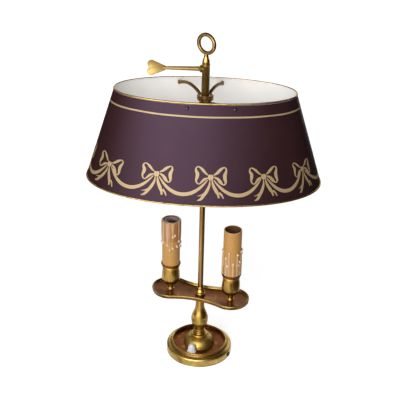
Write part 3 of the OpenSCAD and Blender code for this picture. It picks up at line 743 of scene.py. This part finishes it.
class LAMP_OT_baluster(bpy.types.Operator):
    """Turns the baluster between the foot and the tray"""
    bl_idname = "lamp.baluster"
    bl_label = "Baluster"

    def execute(self, context):
        bulb = context.scene.lamp_foot.bulb / MM
        _, _, z, top = span("baluster")
        profile = [(BORE, z), (9.6, z)]
        for x, up, radius in ((8.5, 1.3, 1.3), (8.1, 3.9, 1.2), (7.1, 6.6, 1.1)):
            profile += arc(x, z + up, radius, -70, 80)
        profile += curve((7.3, z + 8.1), (7.2, z + 9.4), (7.4, z + 10.2), (8, z + 10.9))
        profile += curve((8.2, z + 11.3), (bulb - 1.6, z + 13.2), (bulb, z + 19), (bulb, z + 26.5), 16)
        profile += curve((bulb, z + 26.5), (bulb, z + 36), (7, z + 39.5), (6.6, z + 50), 20)[1:]
        profile += [(6.5, z + 57), (7, top), (BORE, top)]
        lathe("baluster", "baluster_turned", "lacquered", "base", "brass_lacquered", profile)
        return {"FINISHED"}


class LAMP_OT_tray(bpy.types.Operator):
    """Raises the two-lobed tray with its rolled edge, and turns the collar on it"""
    bl_idname = "lamp.tray"
    bl_label = "Tray"

    def execute(self, context):
        sizes = context.scene.lamp_tray
        lobe, waist, edge = sizes.lobe / MM, sizes.waist / MM, sizes.edge / MM
        _, _, low, top = span("tray")
        candle = span("sleeve_right")[0]
        # Radius of the hollow side between the lobes, and the direction where it meets a lobe
        hollow = (candle ** 2 + waist ** 2 - lobe ** 2) / (2 * (lobe - waist))
        meet = math.degrees(math.atan2(waist + hollow, -candle))
        outline = []
        for side in (1, -1):
            turn = 90 - 90 * side
            outline += arc(side * candle, 0, lobe, turn - meet, turn + meet, 72)
            outline += arc(0, side * (waist + hollow), hollow, turn + meet - 180, turn - meet, 28)[1:-1]
        widest = top - edge
        tray = plate("tray_raised", outline, widest, 0.1)
        # From the edge inwards: the roll and the slope to the floor above, and the same below
        roll = arc(edge, 0, edge, 180, -20, 12)
        floor = low + 2.5
        inner = [(2 * edge - 0.1, floor + 1.6 - widest), (2 * edge + 0.2, floor + 0.7 - widest),
                 (2 * edge + 0.8, floor + 0.2 - widest), (2 * edge + 1.8, floor - widest)]
        outer = [(0.2, -0.55), (0.55, -0.95), (0.7, -1.3), (0.7, low + 1.0 - widest),
                 (0.9, low + 0.4 - widest), (1.3, low + 0.1 - widest), (1.9, low - widest)]
        for side, section in ((1, roll[1:] + inner), (-1, [(0, 0)] + outer)):
            with editing(tray, "FACE", selected=False):
                # The tray's one large face on this side
                pick(tray, "faces", lambda face: len(face.verts) > 50 and face.normal.z * side > 0.5)
                for (inset, rise), before in zip(section, [(0, 0)] + section):
                    bpy.ops.mesh.inset(thickness=max(inset - before[0], 0) * MM,
                                       depth=(rise - before[1]) * side * MM)
        close_up(tray)
        # Brown on the floor and the underside: partly age, partly a painted dark reflection on the
        # floor and painted shade below
        paint(tray, "browned", "spun",
              rule=lambda x, y, z: 0 if abs(z - floor) < 0.25 or z < low + 0.12 else 1)
        mount(tray, "base", "brass_bronzed", "tray", smooth=50)

        _, r, z, top = span("tray_collar")
        profile = [(4, z), (r - 0.4, z), *arc(r - 1.2, z + 1.3, 1.2, -70, 80), (6.2, z + 2.9),
                   *arc(5.5, z + 4.6, 1.4, -60, 60)]
        profile += curve((6, z + 6.3), (5.3, z + 7.2), (4.9, z + 8.6), (4.6, z + 9.8))
        profile += [(5.1, z + 10.4), (5.15, top - 0.6), (4.8, top), (4, top)]
        lathe("tray_collar", "collar_turned", "polished", "base", "brass_polished", profile)
        return {"FINISHED"}


class LAMP_OT_cups(bpy.types.Operator):
    """Turns a candle cup and copies it to the other side"""
    bl_idname = "lamp.cups"
    bl_label = "Candle cups"

    def execute(self, context):
        middle, _, low, top = span("cup_right")
        height, seat_depth, play = 45.7, 2.0, 0.3
        z = top - height
        seat, fit = z + height - seat_depth, span("sleeve_right")[1] + play
        outside = [(1.6, low), (3, low), (3, z), (5.3, z), *arc(5.0, z + 0.6, 0.6, -60, 80, 5)]
        outside += curve((5.2, z + 1.5), (4, z + 2), (3.8, z + 2.8), (3.9, z + 5.6))
        outside += curve((3.9, z + 6.4), (7.5, z + 9.6), (13.7, z + 13), (13.7, z + 21), 16)
        outside += curve((13.7, z + 21), (13.7, z + 29), (12.7, z + 32.5), (12.2, z + 36.4), 14)[1:]
        outside += [(11.8, z + 36.7), (11.6, z + 37.1), (11.8, z + 37.5)]
        outside += arc(12.0, z + 39.1, 1.1, -70, 65, 8)
        outside += curve((12.3, z + 40.9), (12.7, z + 41.8), (14.4, z + 42), (14.5, z + 43.9), 8)
        outside += arc(14.0, z + 44.9, 0.8, -50, 90, 6)
        inside = [(fit, top), (fit, seat), (11.2, seat), (9.9, z + 37), (9.9, z + 32)]
        inside += curve((9.9, z + 32), (10, z + 28), (12.4, z + 25), (12.4, z + 20.5), 6)[1:]
        inside += curve((12.4, z + 20.5), (12.2, z + 16), (8.5, z + 12.4), (6.5, z + 12), 6)[1:]
        inside += [(4, z + 12), (4, z + 8), (1.6, z + 8)]
        right = turned("cup_turned_right", outside + inside, middle)
        left = copied(right, "cup_turned_left", -2 * middle)

        def worn(x, y, h):
            """Polished on the stem and the ring below the rim, and brown on the rim."""
            if h < z + 6 or 37.5 < h - z < 40.5:
                return 1
            return 2 if h > z + 41 else 0

        for piece, node in ((right, "cup_right"), (left, "cup_left")):
            paint(piece, "lacquered", "polished", "browned", rule=worn)
            mount(piece, "base", "brass_lacquered", node)
        return {"FINISHED"}


# Each candle's wax: the direction in degrees, the height and the width of each run at its end, the
# height where the even coat between the runs ends, and the resin
CANDLES = {
    "left": ([(-140.6, 184, 0), (-126.7, 183.6, 4.2), (-94.9, 181.6, 5.6), (-78.5, 174, 1),
              (-60.8, 176.5, 1.3), (-61, 196, 5.6), (-49.1, 197.9, 0), (-32.1, 178.7, 0),
              (-17, 186, 4.6), (-6.4, 178.3, 0)], 187, "amber"),
    "right": ([(-147.4, 184.2, 5), (-114.2, 175.8, 4.4), (-104.1, 163.7, 0), (-91.8, 185.7, 3.4),
               (-65.5, 167.4, 3.6), (-38.8, 182.7, 3.2), (-30.4, 165, 0), (-20.6, 169.9, 3.8)],
              163, "ochre"),
}


class LAMP_OT_candles(bpy.types.Operator):
    """Makes the candle sleeves, the wax over them and the lamp holders in them"""
    bl_idname = "lamp.candles"
    bl_label = "Candles"

    def execute(self, context):
        sizes = context.scene.lamp_tray
        wall, lip = 1.55, 0.4       # thickness of a sleeve's wall, and radius of its rounded rim
        for side, (runs, even, resin) in CANDLES.items():
            body = side + "_sleeve"
            middle, r, low, top = span("sleeve_" + side)
            bore = r - wall
            rim = arc(r - lip, top - lip, lip, 0, 90, 4) + arc(bore + lip, top - lip, lip, 90, 180, 4)
            sleeve = turned("sleeve_tube_" + side, [(bore, low), (r, low), *rim], middle)

            def worn(x, y, z):
                """Card in the bore, and worn pale on the rim."""
                if math.hypot(x - middle, y) < bore + 0.1:
                    return 1
                return 2 if z > top - 0.35 else 0

            paint(sleeve, "sleeve", "card", "rim", rule=worn)
            mount(sleeve, body, "candle_sleeve", "sleeve_" + side)
            # The left wax runs down from the rim, and the right one stands up from the cup
            start = top - 0.2 if side == "left" else span("cup_" + side)[3] + 0.3
            coat = self.coat("wax_" + side, middle, r, start, even, self.all_round(runs), sizes)
            paint(coat, resin)
            mount(coat, body, "candle_sleeve", smooth=180)
            self.holder(side, sizes)
        return {"FINISHED"}

    def all_round(self, runs):
        """The runs in front, and others like them behind."""
        dice = random.Random(len(runs))
        shown, turn = list(runs), runs[-1][0] + 15
        while turn < runs[0][0] + 345:
            shown.append((turn, dice.choice(runs)[1] + dice.uniform(-3, 3), dice.uniform(2.6, 5)))
            turn += dice.uniform(12, 18)
        return shown

    def coat(self, name, middle, r, start, even, runs, sizes):
        """Wax on a sleeve: a sheet laid round it, raised along each run and at the run's last drop."""
        thick, drop = sizes.wax / MM, sizes.drop / MM
        bare, fade, swell = -0.3, 4, 14     # depth of a bare place, and lengths over which wax thickens
        ends = sorted(end for _, end, _ in runs)
        way = 1 if start > ends[-1] else -1
        low, high = sorted((start, (ends[0] if way > 0 else ends[-1]) - 3 * way))
        rows = round((high - low) / 0.4)
        sheet = begin(name, bpy.ops.mesh.primitive_grid_add, x_subdivisions=216, y_subdivisions=rows,
                      size=2 * MM)
        ridges = []

        def rise(turn, z):
            """How high the wax stands at a direction and a height, and how far it counts as a ridge."""
            inside = min(1, max(0, way * (z - even)) / fade)
            best = (0.55 * thick * inside ** 0.5 if inside else bare, 0.25 * inside)
            for direction, end, width in runs:
                off = abs((turn - direction + 180) % 360 - 180) / 180 * math.pi * r
                past = way * (z - end)
                half = min(width, 1.4 * drop + 0.2 * max(past, 0)) / 2
                # A run's ridge rises to its crown: paler there, partly thicker wax and partly a painted
                # highlight
                if past > 0 and off < half:
                    crown = (1 - (off / half) ** 2) ** 0.5
                    body = thick * (0.5 + 0.5 * min(1, past / swell)) * crown
                    best = max(best, (body, 0.25 + 0.45 * crown))
                # A drop's ridge of 1 picks the palest tone, a painted highlight
                gap = (off / drop) ** 2 + (past / (1.5 * drop)) ** 2
                if gap < 1:
                    best = max(best, (0.4 + 1.25 * drop * (1 - gap) ** 0.5, 1.0))
            return best

        def place(x, y, _):
            turn, z = 180 * x, low + (y + 1) / 2 * (high - low)
            height, ridge = rise(turn, z)
            if height > 0:
                height *= min(1, 0.45 + abs(z - start) / 1.5)
            ridges.append(ridge)
            reach = r + (height if abs(y) < 0.9999 else -0.5)
            return middle + reach * math.cos(math.pi * x), reach * math.sin(math.pi * x), z

        reshape(sheet, place)
        sheet.data.attributes.new("ridge", "FLOAT", "POINT").data.foreach_set("value", ridges)
        close_up(sheet)
        return sheet

    def holder(self, side, sizes):
        """The moulded lamp holder inside a sleeve, with its mouth and its screw shell."""
        node = "lampholder_" + side
        middle, r, low, top = span(node)
        profile = [(4, low), (7, low), (7, low + 6), (r, low + 6), (r, top - 8), (r + 0.9, top - 7),
                   (r + 0.9, top - 0.6), (r + 0.5, top), (9.1, top), (8.8, top - 0.4), (8.8, top - 4),
                   (7.6, top - 4), (7.6, top - 24), (5.5, top - 24), (5.5, top - 26.8),
                   (2.6, top - 26.8), (2.6, low + 5), (4, low + 5)]
        piece = turned(node + "_moulded", profile, middle)
        paint(piece, "holder")
        shell = turned("screw_shell_" + side, self.thread(top - 24, 20), middle)
        paint(shell, "nickel")
        if side == "left":
            pivot = Matrix.Translation((middle * MM, 0, low * MM))
            lean = pivot @ Matrix.Rotation(sizes.lean, 4, (-0.3, 1, 0)) @ pivot.inverted()
            for part in (piece, shell):
                part.data.transform(lean)
        mount(piece, "base", "lampholder", node)
        mount(shell, "base", "brass_polished", "socket_shell_" + side)

    def thread(self, low, height, turns=6):
        """The rolled rings of a screw shell, seen as a profile."""
        steps = 2 * turns
        rings = [(7.0 + 0.25 * (i % 2), low + height * (1 - i / steps)) for i in range(steps + 1)]
        return [(7.5, low), (7.5, low + height)] + rings


class LAMP_OT_rod(bpy.types.Operator):
    """Draws the rod, and turns the slider on it with its disc and boss"""
    bl_idname = "lamp.rod"
    bl_label = "Rod and slider"

    def execute(self, context):
        _, r, low, top = span("rod")
        lathe("rod", "rod_drawn", "drawn", "base", "brass_lacquered",
              [(0, low), (r, low), (r, top), (0, top)], steps=48, closed=False)

        _, _, low, top = span("slider_tube")
        r = 5.45
        tube = turned("slider", [(4.05, low), (r, low), (r, top - 3.0), (r + 0.25, top - 2.6),
                                 (r + 0.3, top - 0.6), (r - 0.2, top), (4.05, top)], steps=64)
        profile = [(0, 3), (4.4, 3), (4.4, 4.8), (5.0, 5.2), *arc(4.3, 6.6, 1.1, -50, 60, 6),
                   (4.4, 8.0), (4.0, 8.7), (0, 8.7)]
        boss = turned("boss", profile, steps=48, closed=False)
        boss.data.transform(along_screw())
        tube = join("slider_tube_turned", tube, boss)
        paint(tube, "dull", "polished",
              rule=lambda x, y, z: 1 if z > top - 2.9 and math.hypot(x, y) < 6 else 0)
        mount(tube, "slider", "brass_lacquered", "slider_tube")

        _, reach, z, top = span("slider_disc")
        profile = [(r, z), (reach - 0.3, z), (reach, z + 0.3), (reach, top - 0.4), (reach - 0.4, top),
                   (5.6, top), (r, top - 0.15)]
        lathe("slider_disc", "disc_turned", "worn", "slider", "brass_lacquered", profile, steps=64)
        return {"FINISHED"}


def along_screw():
    """The place of the thumb screw: Z along its shank, from the rod's axis outwards."""
    joint = next(j for j in frame["joints"] if j["name"] == "thumb_screw_turn")
    way = Vector(joint["axis"])
    turn = Matrix.Rotation(math.atan2(way.y, way.x), 4, "Z") @ Matrix.Rotation(math.pi / 2, 4, "Y")
    return Matrix.Translation(joint["pos_m"]) @ turn


class LAMP_OT_thumb_screw(bpy.types.Operator):
    """Forges the thumb screw with its heart-shaped flag"""
    bl_idname = "lamp.thumb_screw"
    bl_label = "Thumb screw"

    def execute(self, context):
        reach, flag, thick, tilt = 79.0, 25.2, 2.4, math.radians(27)
        lobe, apart = 5.6, 4.9      # radius of the heart's lobes, and half the distance between them
        neck = reach - flag
        profile = [(0, 4.3), (2, 4.3), (2, 9.0), (3.5, 9.0), (3.7, 9.3), (3.7, 9.8), (3.2, 10.2),
                   (3.1, 12), (2.5, neck - 8), (2.3, neck - 2), (2.1, neck + 2), (1.5, neck + 5),
                   (0, neck + 8)]
        shank = turned("shank", profile, steps=48, closed=False)
        middle = reach - lobe
        run = middle - neck
        lean = math.asin((lobe - 2.6) / run) + math.atan2(apart, run)
        meet = 180 - math.degrees(math.acos((apart - 0.4) / lobe))
        half = arc(apart, middle, lobe, -math.degrees(lean), meet, 24)
        half = [(2.6, neck), *half, (0.3, middle + 1.5)]
        outline = half + [(0, middle - 3.4)] + [(-x, y) for x, y in reversed(half)]
        heart = plate("heart", outline, -thick / 2, thick)
        with editing(heart, "EDGE", selected=False):
            pick(heart, "edges", lambda edge: abs(edge.verts[0].co.z - edge.verts[1].co.z) < MERGE
                 and max(abs(vertex.co.x) for vertex in edge.verts) > 0.5 * MM)
            bpy.ops.mesh.bevel(offset=0.5 * MM, segments=3, affect="EDGES")
        heart.data.transform(Matrix.Rotation(tilt, 4, "Z") @ Matrix.Rotation(math.pi / 2, 4, "X"))
        screw = join("thumb_screw_forged", shank, heart)
        screw.data.transform(along_screw())
        paint(screw, "rubbed")
        mount(screw, "thumb_screw", "brass_polished", "thumb_screw", smooth=20)
        return {"FINISHED"}


class LAMP_OT_finial(bpy.types.Operator):
    """Turns the finial's foot and sets its ring on it"""
    bl_idname = "lamp.finial"
    bl_label = "Finial"

    def execute(self, context):
        _, _, low, top = span("finial")
        wire, ring = 2.7, 12.6
        z, centre = span("rod")[3], top - wire - ring      # the rod's end, and the ring's middle
        foot = [(0, low), (2, low), (2, z), (4.9, z), *arc(4.4, z + 0.9, 0.9, -60, 60, 6), (4.6, z + 2),
                (4.6, z + 2.4), (5.1, z + 2.8)]
        neck = curve((5.1, z + 2.8), (4.9, z + 5.5), (3.4, z + 7.5), (3.1, z + 10.5), 8)
        stem = turned("stem", foot + neck + [(2.5, centre - ring - 1.2), (0, centre - ring)], steps=48,
                      closed=False)
        hoop = begin("hoop", bpy.ops.mesh.primitive_torus_add, major_radius=ring * MM,
                     minor_radius=wire * MM, major_segments=72, minor_segments=20,
                     location=(0, 0, centre * MM), rotation=(math.pi / 2, 0, math.radians(-18)))
        settle(hoop)
        piece = join("finial_ring", stem, hoop)
        paint(piece, "drawn", "polished",
              rule=lambda x, y, h: 1 if z + 2.7 < h < z + 11 and math.hypot(x, y) < 5.4 else 0)
        mount(piece, "base", "brass_lacquered", "finial")
        return {"FINISHED"}


class LAMP_OT_shade(bpy.types.Operator):
    """Rolls the shade's sheet and beads its edges"""
    bl_idname = "lamp.shade"
    bl_label = "Shade"
    ring = 10       # radius of the plain ring that a bead starts as, in millimetres

    def execute(self, context):
        sheet = context.scene.lamp_shade.sheet / MM
        rows, bead_r = 12, 1.35     # rows of faces up the wall, and the radius of a bead
        _, _, low, top = span("shade_wall")
        wall = open_band("shade_sheet")
        with editing(wall, "EDGE", selected=False):
            pick(wall, "edges", lambda edge: abs(edge.verts[0].co.z - edge.verts[1].co.z) > MM)
            bpy.ops.mesh.subdivide(number_cuts=rows - 1)
        reshape(wall, lambda x, y, z: oval(math.atan2(y, x), low + (top - low) * (z + 1) / 2,
                                           sheet / 2))
        close_up(wall)
        modify(wall, "SOLIDIFY", thickness=sheet * MM, offset=-1, material_offset=1)
        paint(wall, "paint", "lining")
        for face in wall.data.polygons:
            outwards = face.normal.x * face.center.x + face.normal.y * face.center.y > 0
            face.material_index = 0 if outwards else 1
        mount(wall, "shade", "shade_paint", "shade_wall")
        for name, level, rule in (("top_bead", TOP[2], self.bead_top),
                                  ("bottom_bead", BOTTOM[2], self.bead_bottom)):
            bead = begin(name, bpy.ops.mesh.primitive_torus_add, major_radius=self.ring * MM,
                         minor_radius=bead_r * MM, major_segments=AROUND, minor_segments=20)
            paint(bead, "bead", "browned", "worn", "lining", rule=rule)

            def place(x, y, z):
                return oval(math.atan2(y, x), level + z, math.hypot(x, y) - self.ring, level)

            reshape(bead, place)
            mount(bead, "shade", "gilt_bead", "shade_" + name, smooth=180)
        return {"FINISHED"}

    def bead_top(self, x, y, z):
        """Gilt above, with a painted shadow below it outside, and inside worn above and enamelled
        below.
        """
        if math.hypot(x, y) - self.ring < -0.2:
            return 2 if z > 0.5 else 3
        return 0 if z > -0.45 else 1

    def bead_bottom(self, x, y, z):
        """Gilt outside, with a dark line of painted shade round the middle, and brown inside."""
        return 1 if math.hypot(x, y) < self.ring or -0.15 < z < 0.35 else 0


class LAMP_OT_ornament(bpy.types.Operator):
    """Paints the line, the bows and the swags on the shade"""
    bl_idname = "lamp.ornament"
    bl_label = "Ornament"

    def execute(self, context):
        sizes = context.scene.lamp_shade
        relief, surface = sizes.relief / MM, sizes.sheet / MM / 2
        z, half = sizes.line / MM, sizes.line_width / MM / 2
        line = open_band("painted_line")

        def hand(x, y, side):
            """The line wavers a little, as a hand does."""
            turn = math.atan2(y, x)
            waver = 0.12 * math.sin(5 * turn + 1) + 0.08 * math.sin(13 * turn)
            return oval(turn, z + waver + side * half, surface + relief)

        reshape(line, hand)
        modify(line, "SOLIDIFY", thickness=relief * MM, offset=-1)
        paint(line, "gilding")
        mount(line, "shade", "gilt_paint")

        table = arc_table(sizes.knots / MM)
        around = table[-1][0]
        bows = bow_places(around)
        flat = [stroke("stroke", [(x, y, sizes.brush * width) for x, y, width in points], relief)
                for points in BOW_STROKES]
        flat = join("bow", *flat, stroke("stroke", KNOT, 1.6 * relief, columns=6))
        for i, (at, *hang) in enumerate(bows):
            bow = copied(flat, f"bow_{i + 1}")
            wrap(bow, table, sizes, at, *hang)
            self.lay(bow, relief)
            half = (bows[(i + 1) % len(bows)][0] - at) % around / 2
            swag = self.swag(f"swag_{i + 1}", half, relief, sizes)
            wrap(swag, table, sizes, at + half)
            self.lay(swag, relief)
        bpy.data.objects.remove(flat)
        return {"FINISHED"}

    def swag(self, name, half, relief, sizes):
        """A swag between two knots, thick in the middle."""
        drop, width = sizes.swag_drop / MM, sizes.swag_width / MM
        start, steps = 4.0, 16      # the swag's distance from the knots, and its steps from end to end
        points = []
        for i in range(steps + 1):
            u = 2 * i / steps - 1
            reach = abs(u)
            points.append((u * (half - start), -drop + (drop - 3.2) * reach ** 2.1,
                           width * (1 - 0.75 * reach ** 2.5)))
        return stroke(name, points, relief)

    def lay(self, piece, relief):
        """Gives a wrapped stroke its thickness and mounts it."""
        modify(piece, "SOLIDIFY", thickness=0.9 * relief * MM, offset=-1)
        paint(piece, "gilding")
        mount(piece, "shade", "gilt_paint")


# The finish of each piece that stays as the construction has it
CAD_FINISHES = {
    "base_weight": "iron", "base_plate": "steel", "base_pad": "felt", "cable_inlet_bush": "bush",
    "switch_body": "switch", "switch_ring_nut": "steel", "switch_spring": "steel",
    "stem_tube": "lacquered", "stem_nut": "lacquered", "stem_washer": "steel", "wiring": "insulation",
    "wiring_box": "lacquered", "cup_nuts": "lacquered", "holder_post_left": "lacquered",
    "holder_post_right": "lacquered", "socket_contacts": "polished", "slider_lock_nut": "dull",
    "shade_spider": "dull", "shade_screws": "screw",
}


class LAMP_OT_inner_pieces(bpy.types.Operator):
    """Finishes the pieces whose construction shape is already right"""
    bl_idname = "lamp.inner_pieces"
    bl_label = "Inner pieces"

    def execute(self, context):
        for node, name in CAD_FINISHES.items():
            paint(frame["nodes"][node], name)
        return {"FINISHED"}


# The stage, in metres. The camera: its place, and its turns in degrees, from the outermost one in
CAMERA_PLACE = (0.3631, -1.2257, 0.9124)
CAMERA_TURNS = (("Z", 16.67), ("X", 90 - 27.1), ("Z", 1.38))
CAMERA_LENS = 90.1

# Each lamp: its place, the point it faces, and its width and height
LAMPS = {
    "key": ((-0.25, -2.0, 0.9), (0, 0, 0.25), (1.8, 0.9)),
    "top": ((0.1, -1.5, 1.8), (0, 0, 0.25), (1.8, 1.0)),
    "inside": ((0.01, -0.03, 0.385), (-0.01, 0.05, 0.4), (0.17, 0.02)),
}

# Each brown card round the object, seen only in the metal as a painted dark reflection: its place, its
# width and depth, its lean in degrees and its colour
CARDS = {
    "flag_right": ((0.85, 0.1, 0.5), (1.5, 2.2), -60, "#54402c"),
    "flag_left": ((-0.8, 0.1, 0.3), (0.9, 1.4), 60, "#56341f"),
    "flag_above": ((0, 0.2, 1.45), (3.2, 2.6), 0, "#5a4630"),
    "flag_foot_left": ((-0.092, 0, 0.003), (0.04, 0.3), 0, "#4a3018"),
    "flag_foot_right": ((0.094, 0, 0.003), (0.044, 0.3), 0, "#3a2410"),
    "flag_low_right": ((0.85, -0.3, 0.004), (1.3, 2.2), 0, "#6b5a40"),
    "flag_low_back": ((-0.2, 0.85, 0.005), (3.2, 1.2), 0, "#6b5a40"),
}

# The floor's glow under the object, the distance it reaches, and the distance where the floor is white
FLOOR_GLOW, GLOW_NEAR, GLOW_FAR = 0.78, 0.3, 1.0


class LAMP_OT_stage(bpy.types.Operator):
    """Sets the camera, the lamps, the world and the floor"""
    bl_idname = "lamp.stage"
    bl_label = "Studio"

    def execute(self, context):
        scene = context.scene
        scene.view_settings.view_transform = "Standard"
        eye = bpy.data.cameras.new("camera")
        eye.lens = CAMERA_LENS
        eye.sensor_width = 36
        eye.clip_end = 20
        camera = bpy.data.objects.new("camera", eye)
        scene.collection.objects.link(camera)
        pose = Matrix.Translation(CAMERA_PLACE)
        for axis, degrees in CAMERA_TURNS:
            pose @= Matrix.Rotation(math.radians(degrees), 4, axis)
        camera.matrix_world = pose
        scene.camera = camera
        for name, settings in LAMPS.items():
            lamp = self.lamp(name, *settings, getattr(scene.lamp_studio, name))
            lamp.visible_glossy = name != "inside"
        for name, settings in CARDS.items():
            self.flag(name, *settings)
        self.world(scene, scene.lamp_studio.ambient)
        self.floor()
        return {"FINISHED"}

    def lamp(self, name, place, aim, size, power):
        """A soft lamp that faces a point. The camera doesn't see it."""
        light = bpy.data.lights.new(name, "AREA")
        light.shape = "RECTANGLE"
        light.energy = power
        light.size, light.size_y = size
        lamp = bpy.data.objects.new(name, light)
        bpy.context.scene.collection.objects.link(lamp)
        lamp.location = place
        lamp.rotation_euler = (Vector(aim) - Vector(place)).to_track_quat("-Z", "Y").to_euler()
        return lamp

    def flag(self, name, place, size, lean, shade):
        """A brown card beside the object: only the metal shows it, as the dark side of its shine."""
        card = begin(name, bpy.ops.mesh.primitive_plane_add, size=1, location=place,
                     rotation=(0, math.radians(lean), 0))
        card.scale = (*size, 1)
        made, _, bsdf = finish("brown_felt_card", Roughness=1.0, Specular_IOR_Level=0.0)
        bsdf.inputs["Base Color"].default_value = (*linear(shade), 1)
        card.data.materials.append(made)
        for rays in ("camera", "diffuse", "transmission", "shadow"):
            setattr(card, "visible_" + rays, False)

    def seen(self, tree):
        """1 for rays that see the background: from the camera, off gloss and through glass."""
        rays = add(tree, "LightPath")
        either = add(tree, "Math", {0: rays.outputs["Is Camera Ray"], 1: rays.outputs["Is Glossy Ray"]},
                     operation="MAXIMUM")
        return add(tree, "Math", {0: either.outputs[0], 1: rays.outputs["Is Transmission Ray"]},
                   operation="MAXIMUM").outputs[0]

    def world(self, scene, ambient):
        """White to look at, and a plain level of light on the object."""
        scene.world = scene.world or bpy.data.worlds.new("studio")
        scene.world.use_nodes = True
        tree = scene.world.node_tree
        level = add(tree, "MapRange", {"Value": self.seen(tree), "To Min": ambient, "To Max": 1.0})
        back = tree.nodes["Background"]
        back.inputs["Color"].default_value = (1, 1, 1, 1)
        tree.links.new(level.outputs[0], back.inputs["Strength"])

    def floor(self):
        """A pale floor that reads as white and keeps the lamp's shadow."""
        floor = begin("floor", bpy.ops.mesh.primitive_plane_add, size=12)
        made, tree, bsdf = finish("pale_floor", Roughness=0.9, Specular_IOR_Level=0.0)
        bsdf.inputs["Base Color"].default_value = (0.8, 0.8, 0.8, 1)
        bsdf.inputs["Emission Color"].default_value = (1, 1, 1, 1)
        far = add(tree, "VectorMath", {0: add(tree, "TexCoord").outputs["Object"]}, operation="LENGTH")
        glow = add(tree, "MapRange", {"Value": far.outputs["Value"], "From Min": GLOW_NEAR,
                                      "From Max": GLOW_FAR, "To Min": FLOOR_GLOW, "To Max": 1.0})
        lit = add(tree, "Math", {0: glow.outputs[0], 1: self.seen(tree)}, operation="MULTIPLY")
        tree.links.new(lit.outputs[0], bsdf.inputs["Emission Strength"])
        floor.data.materials.append(made)


class LAMP_PT_pieces(bpy.types.Panel):
    """Lists the lamp's pieces"""
    bl_idname = "LAMP_PT_pieces"
    bl_label = "Bouillotte lamp"
    bl_space_type = "VIEW_3D"
    bl_region_type = "UI"
    bl_category = "Lamp"

    def draw(self, context):
        for operator in OPERATORS:
            self.layout.operator(operator.bl_idname)


OPERATORS = (LAMP_OT_stage, LAMP_OT_foot, LAMP_OT_switch, LAMP_OT_baluster, LAMP_OT_tray, LAMP_OT_cups,
             LAMP_OT_candles, LAMP_OT_rod, LAMP_OT_thumb_screw, LAMP_OT_finial, LAMP_OT_shade,
             LAMP_OT_ornament, LAMP_OT_inner_pieces)
GROUPS = {"lamp_foot": LampFootSizes, "lamp_tray": LampTraySizes, "lamp_shade": LampShadeSizes,
          "lamp_colours": LampColours, "lamp_studio": LampStudio}


def register():
    for made in (*GROUPS.values(), *OPERATORS, LAMP_PT_pieces):
        bpy.utils.register_class(made)
    for name, group in GROUPS.items():
        setattr(bpy.types.Scene, name, PointerProperty(type=group))


def unregister():
    for name in GROUPS:
        delattr(bpy.types.Scene, name)
    for made in (LAMP_PT_pieces, *reversed(OPERATORS), *GROUPS.values()):
        bpy.utils.unregister_class(made)


def main():
    register()
    make_finishes(bpy.context.scene.lamp_colours)
    for operator in OPERATORS:
        group, name = operator.bl_idname.split(".")
        getattr(getattr(bpy.ops, group), name)()


if __name__ == "__main__":
    main()
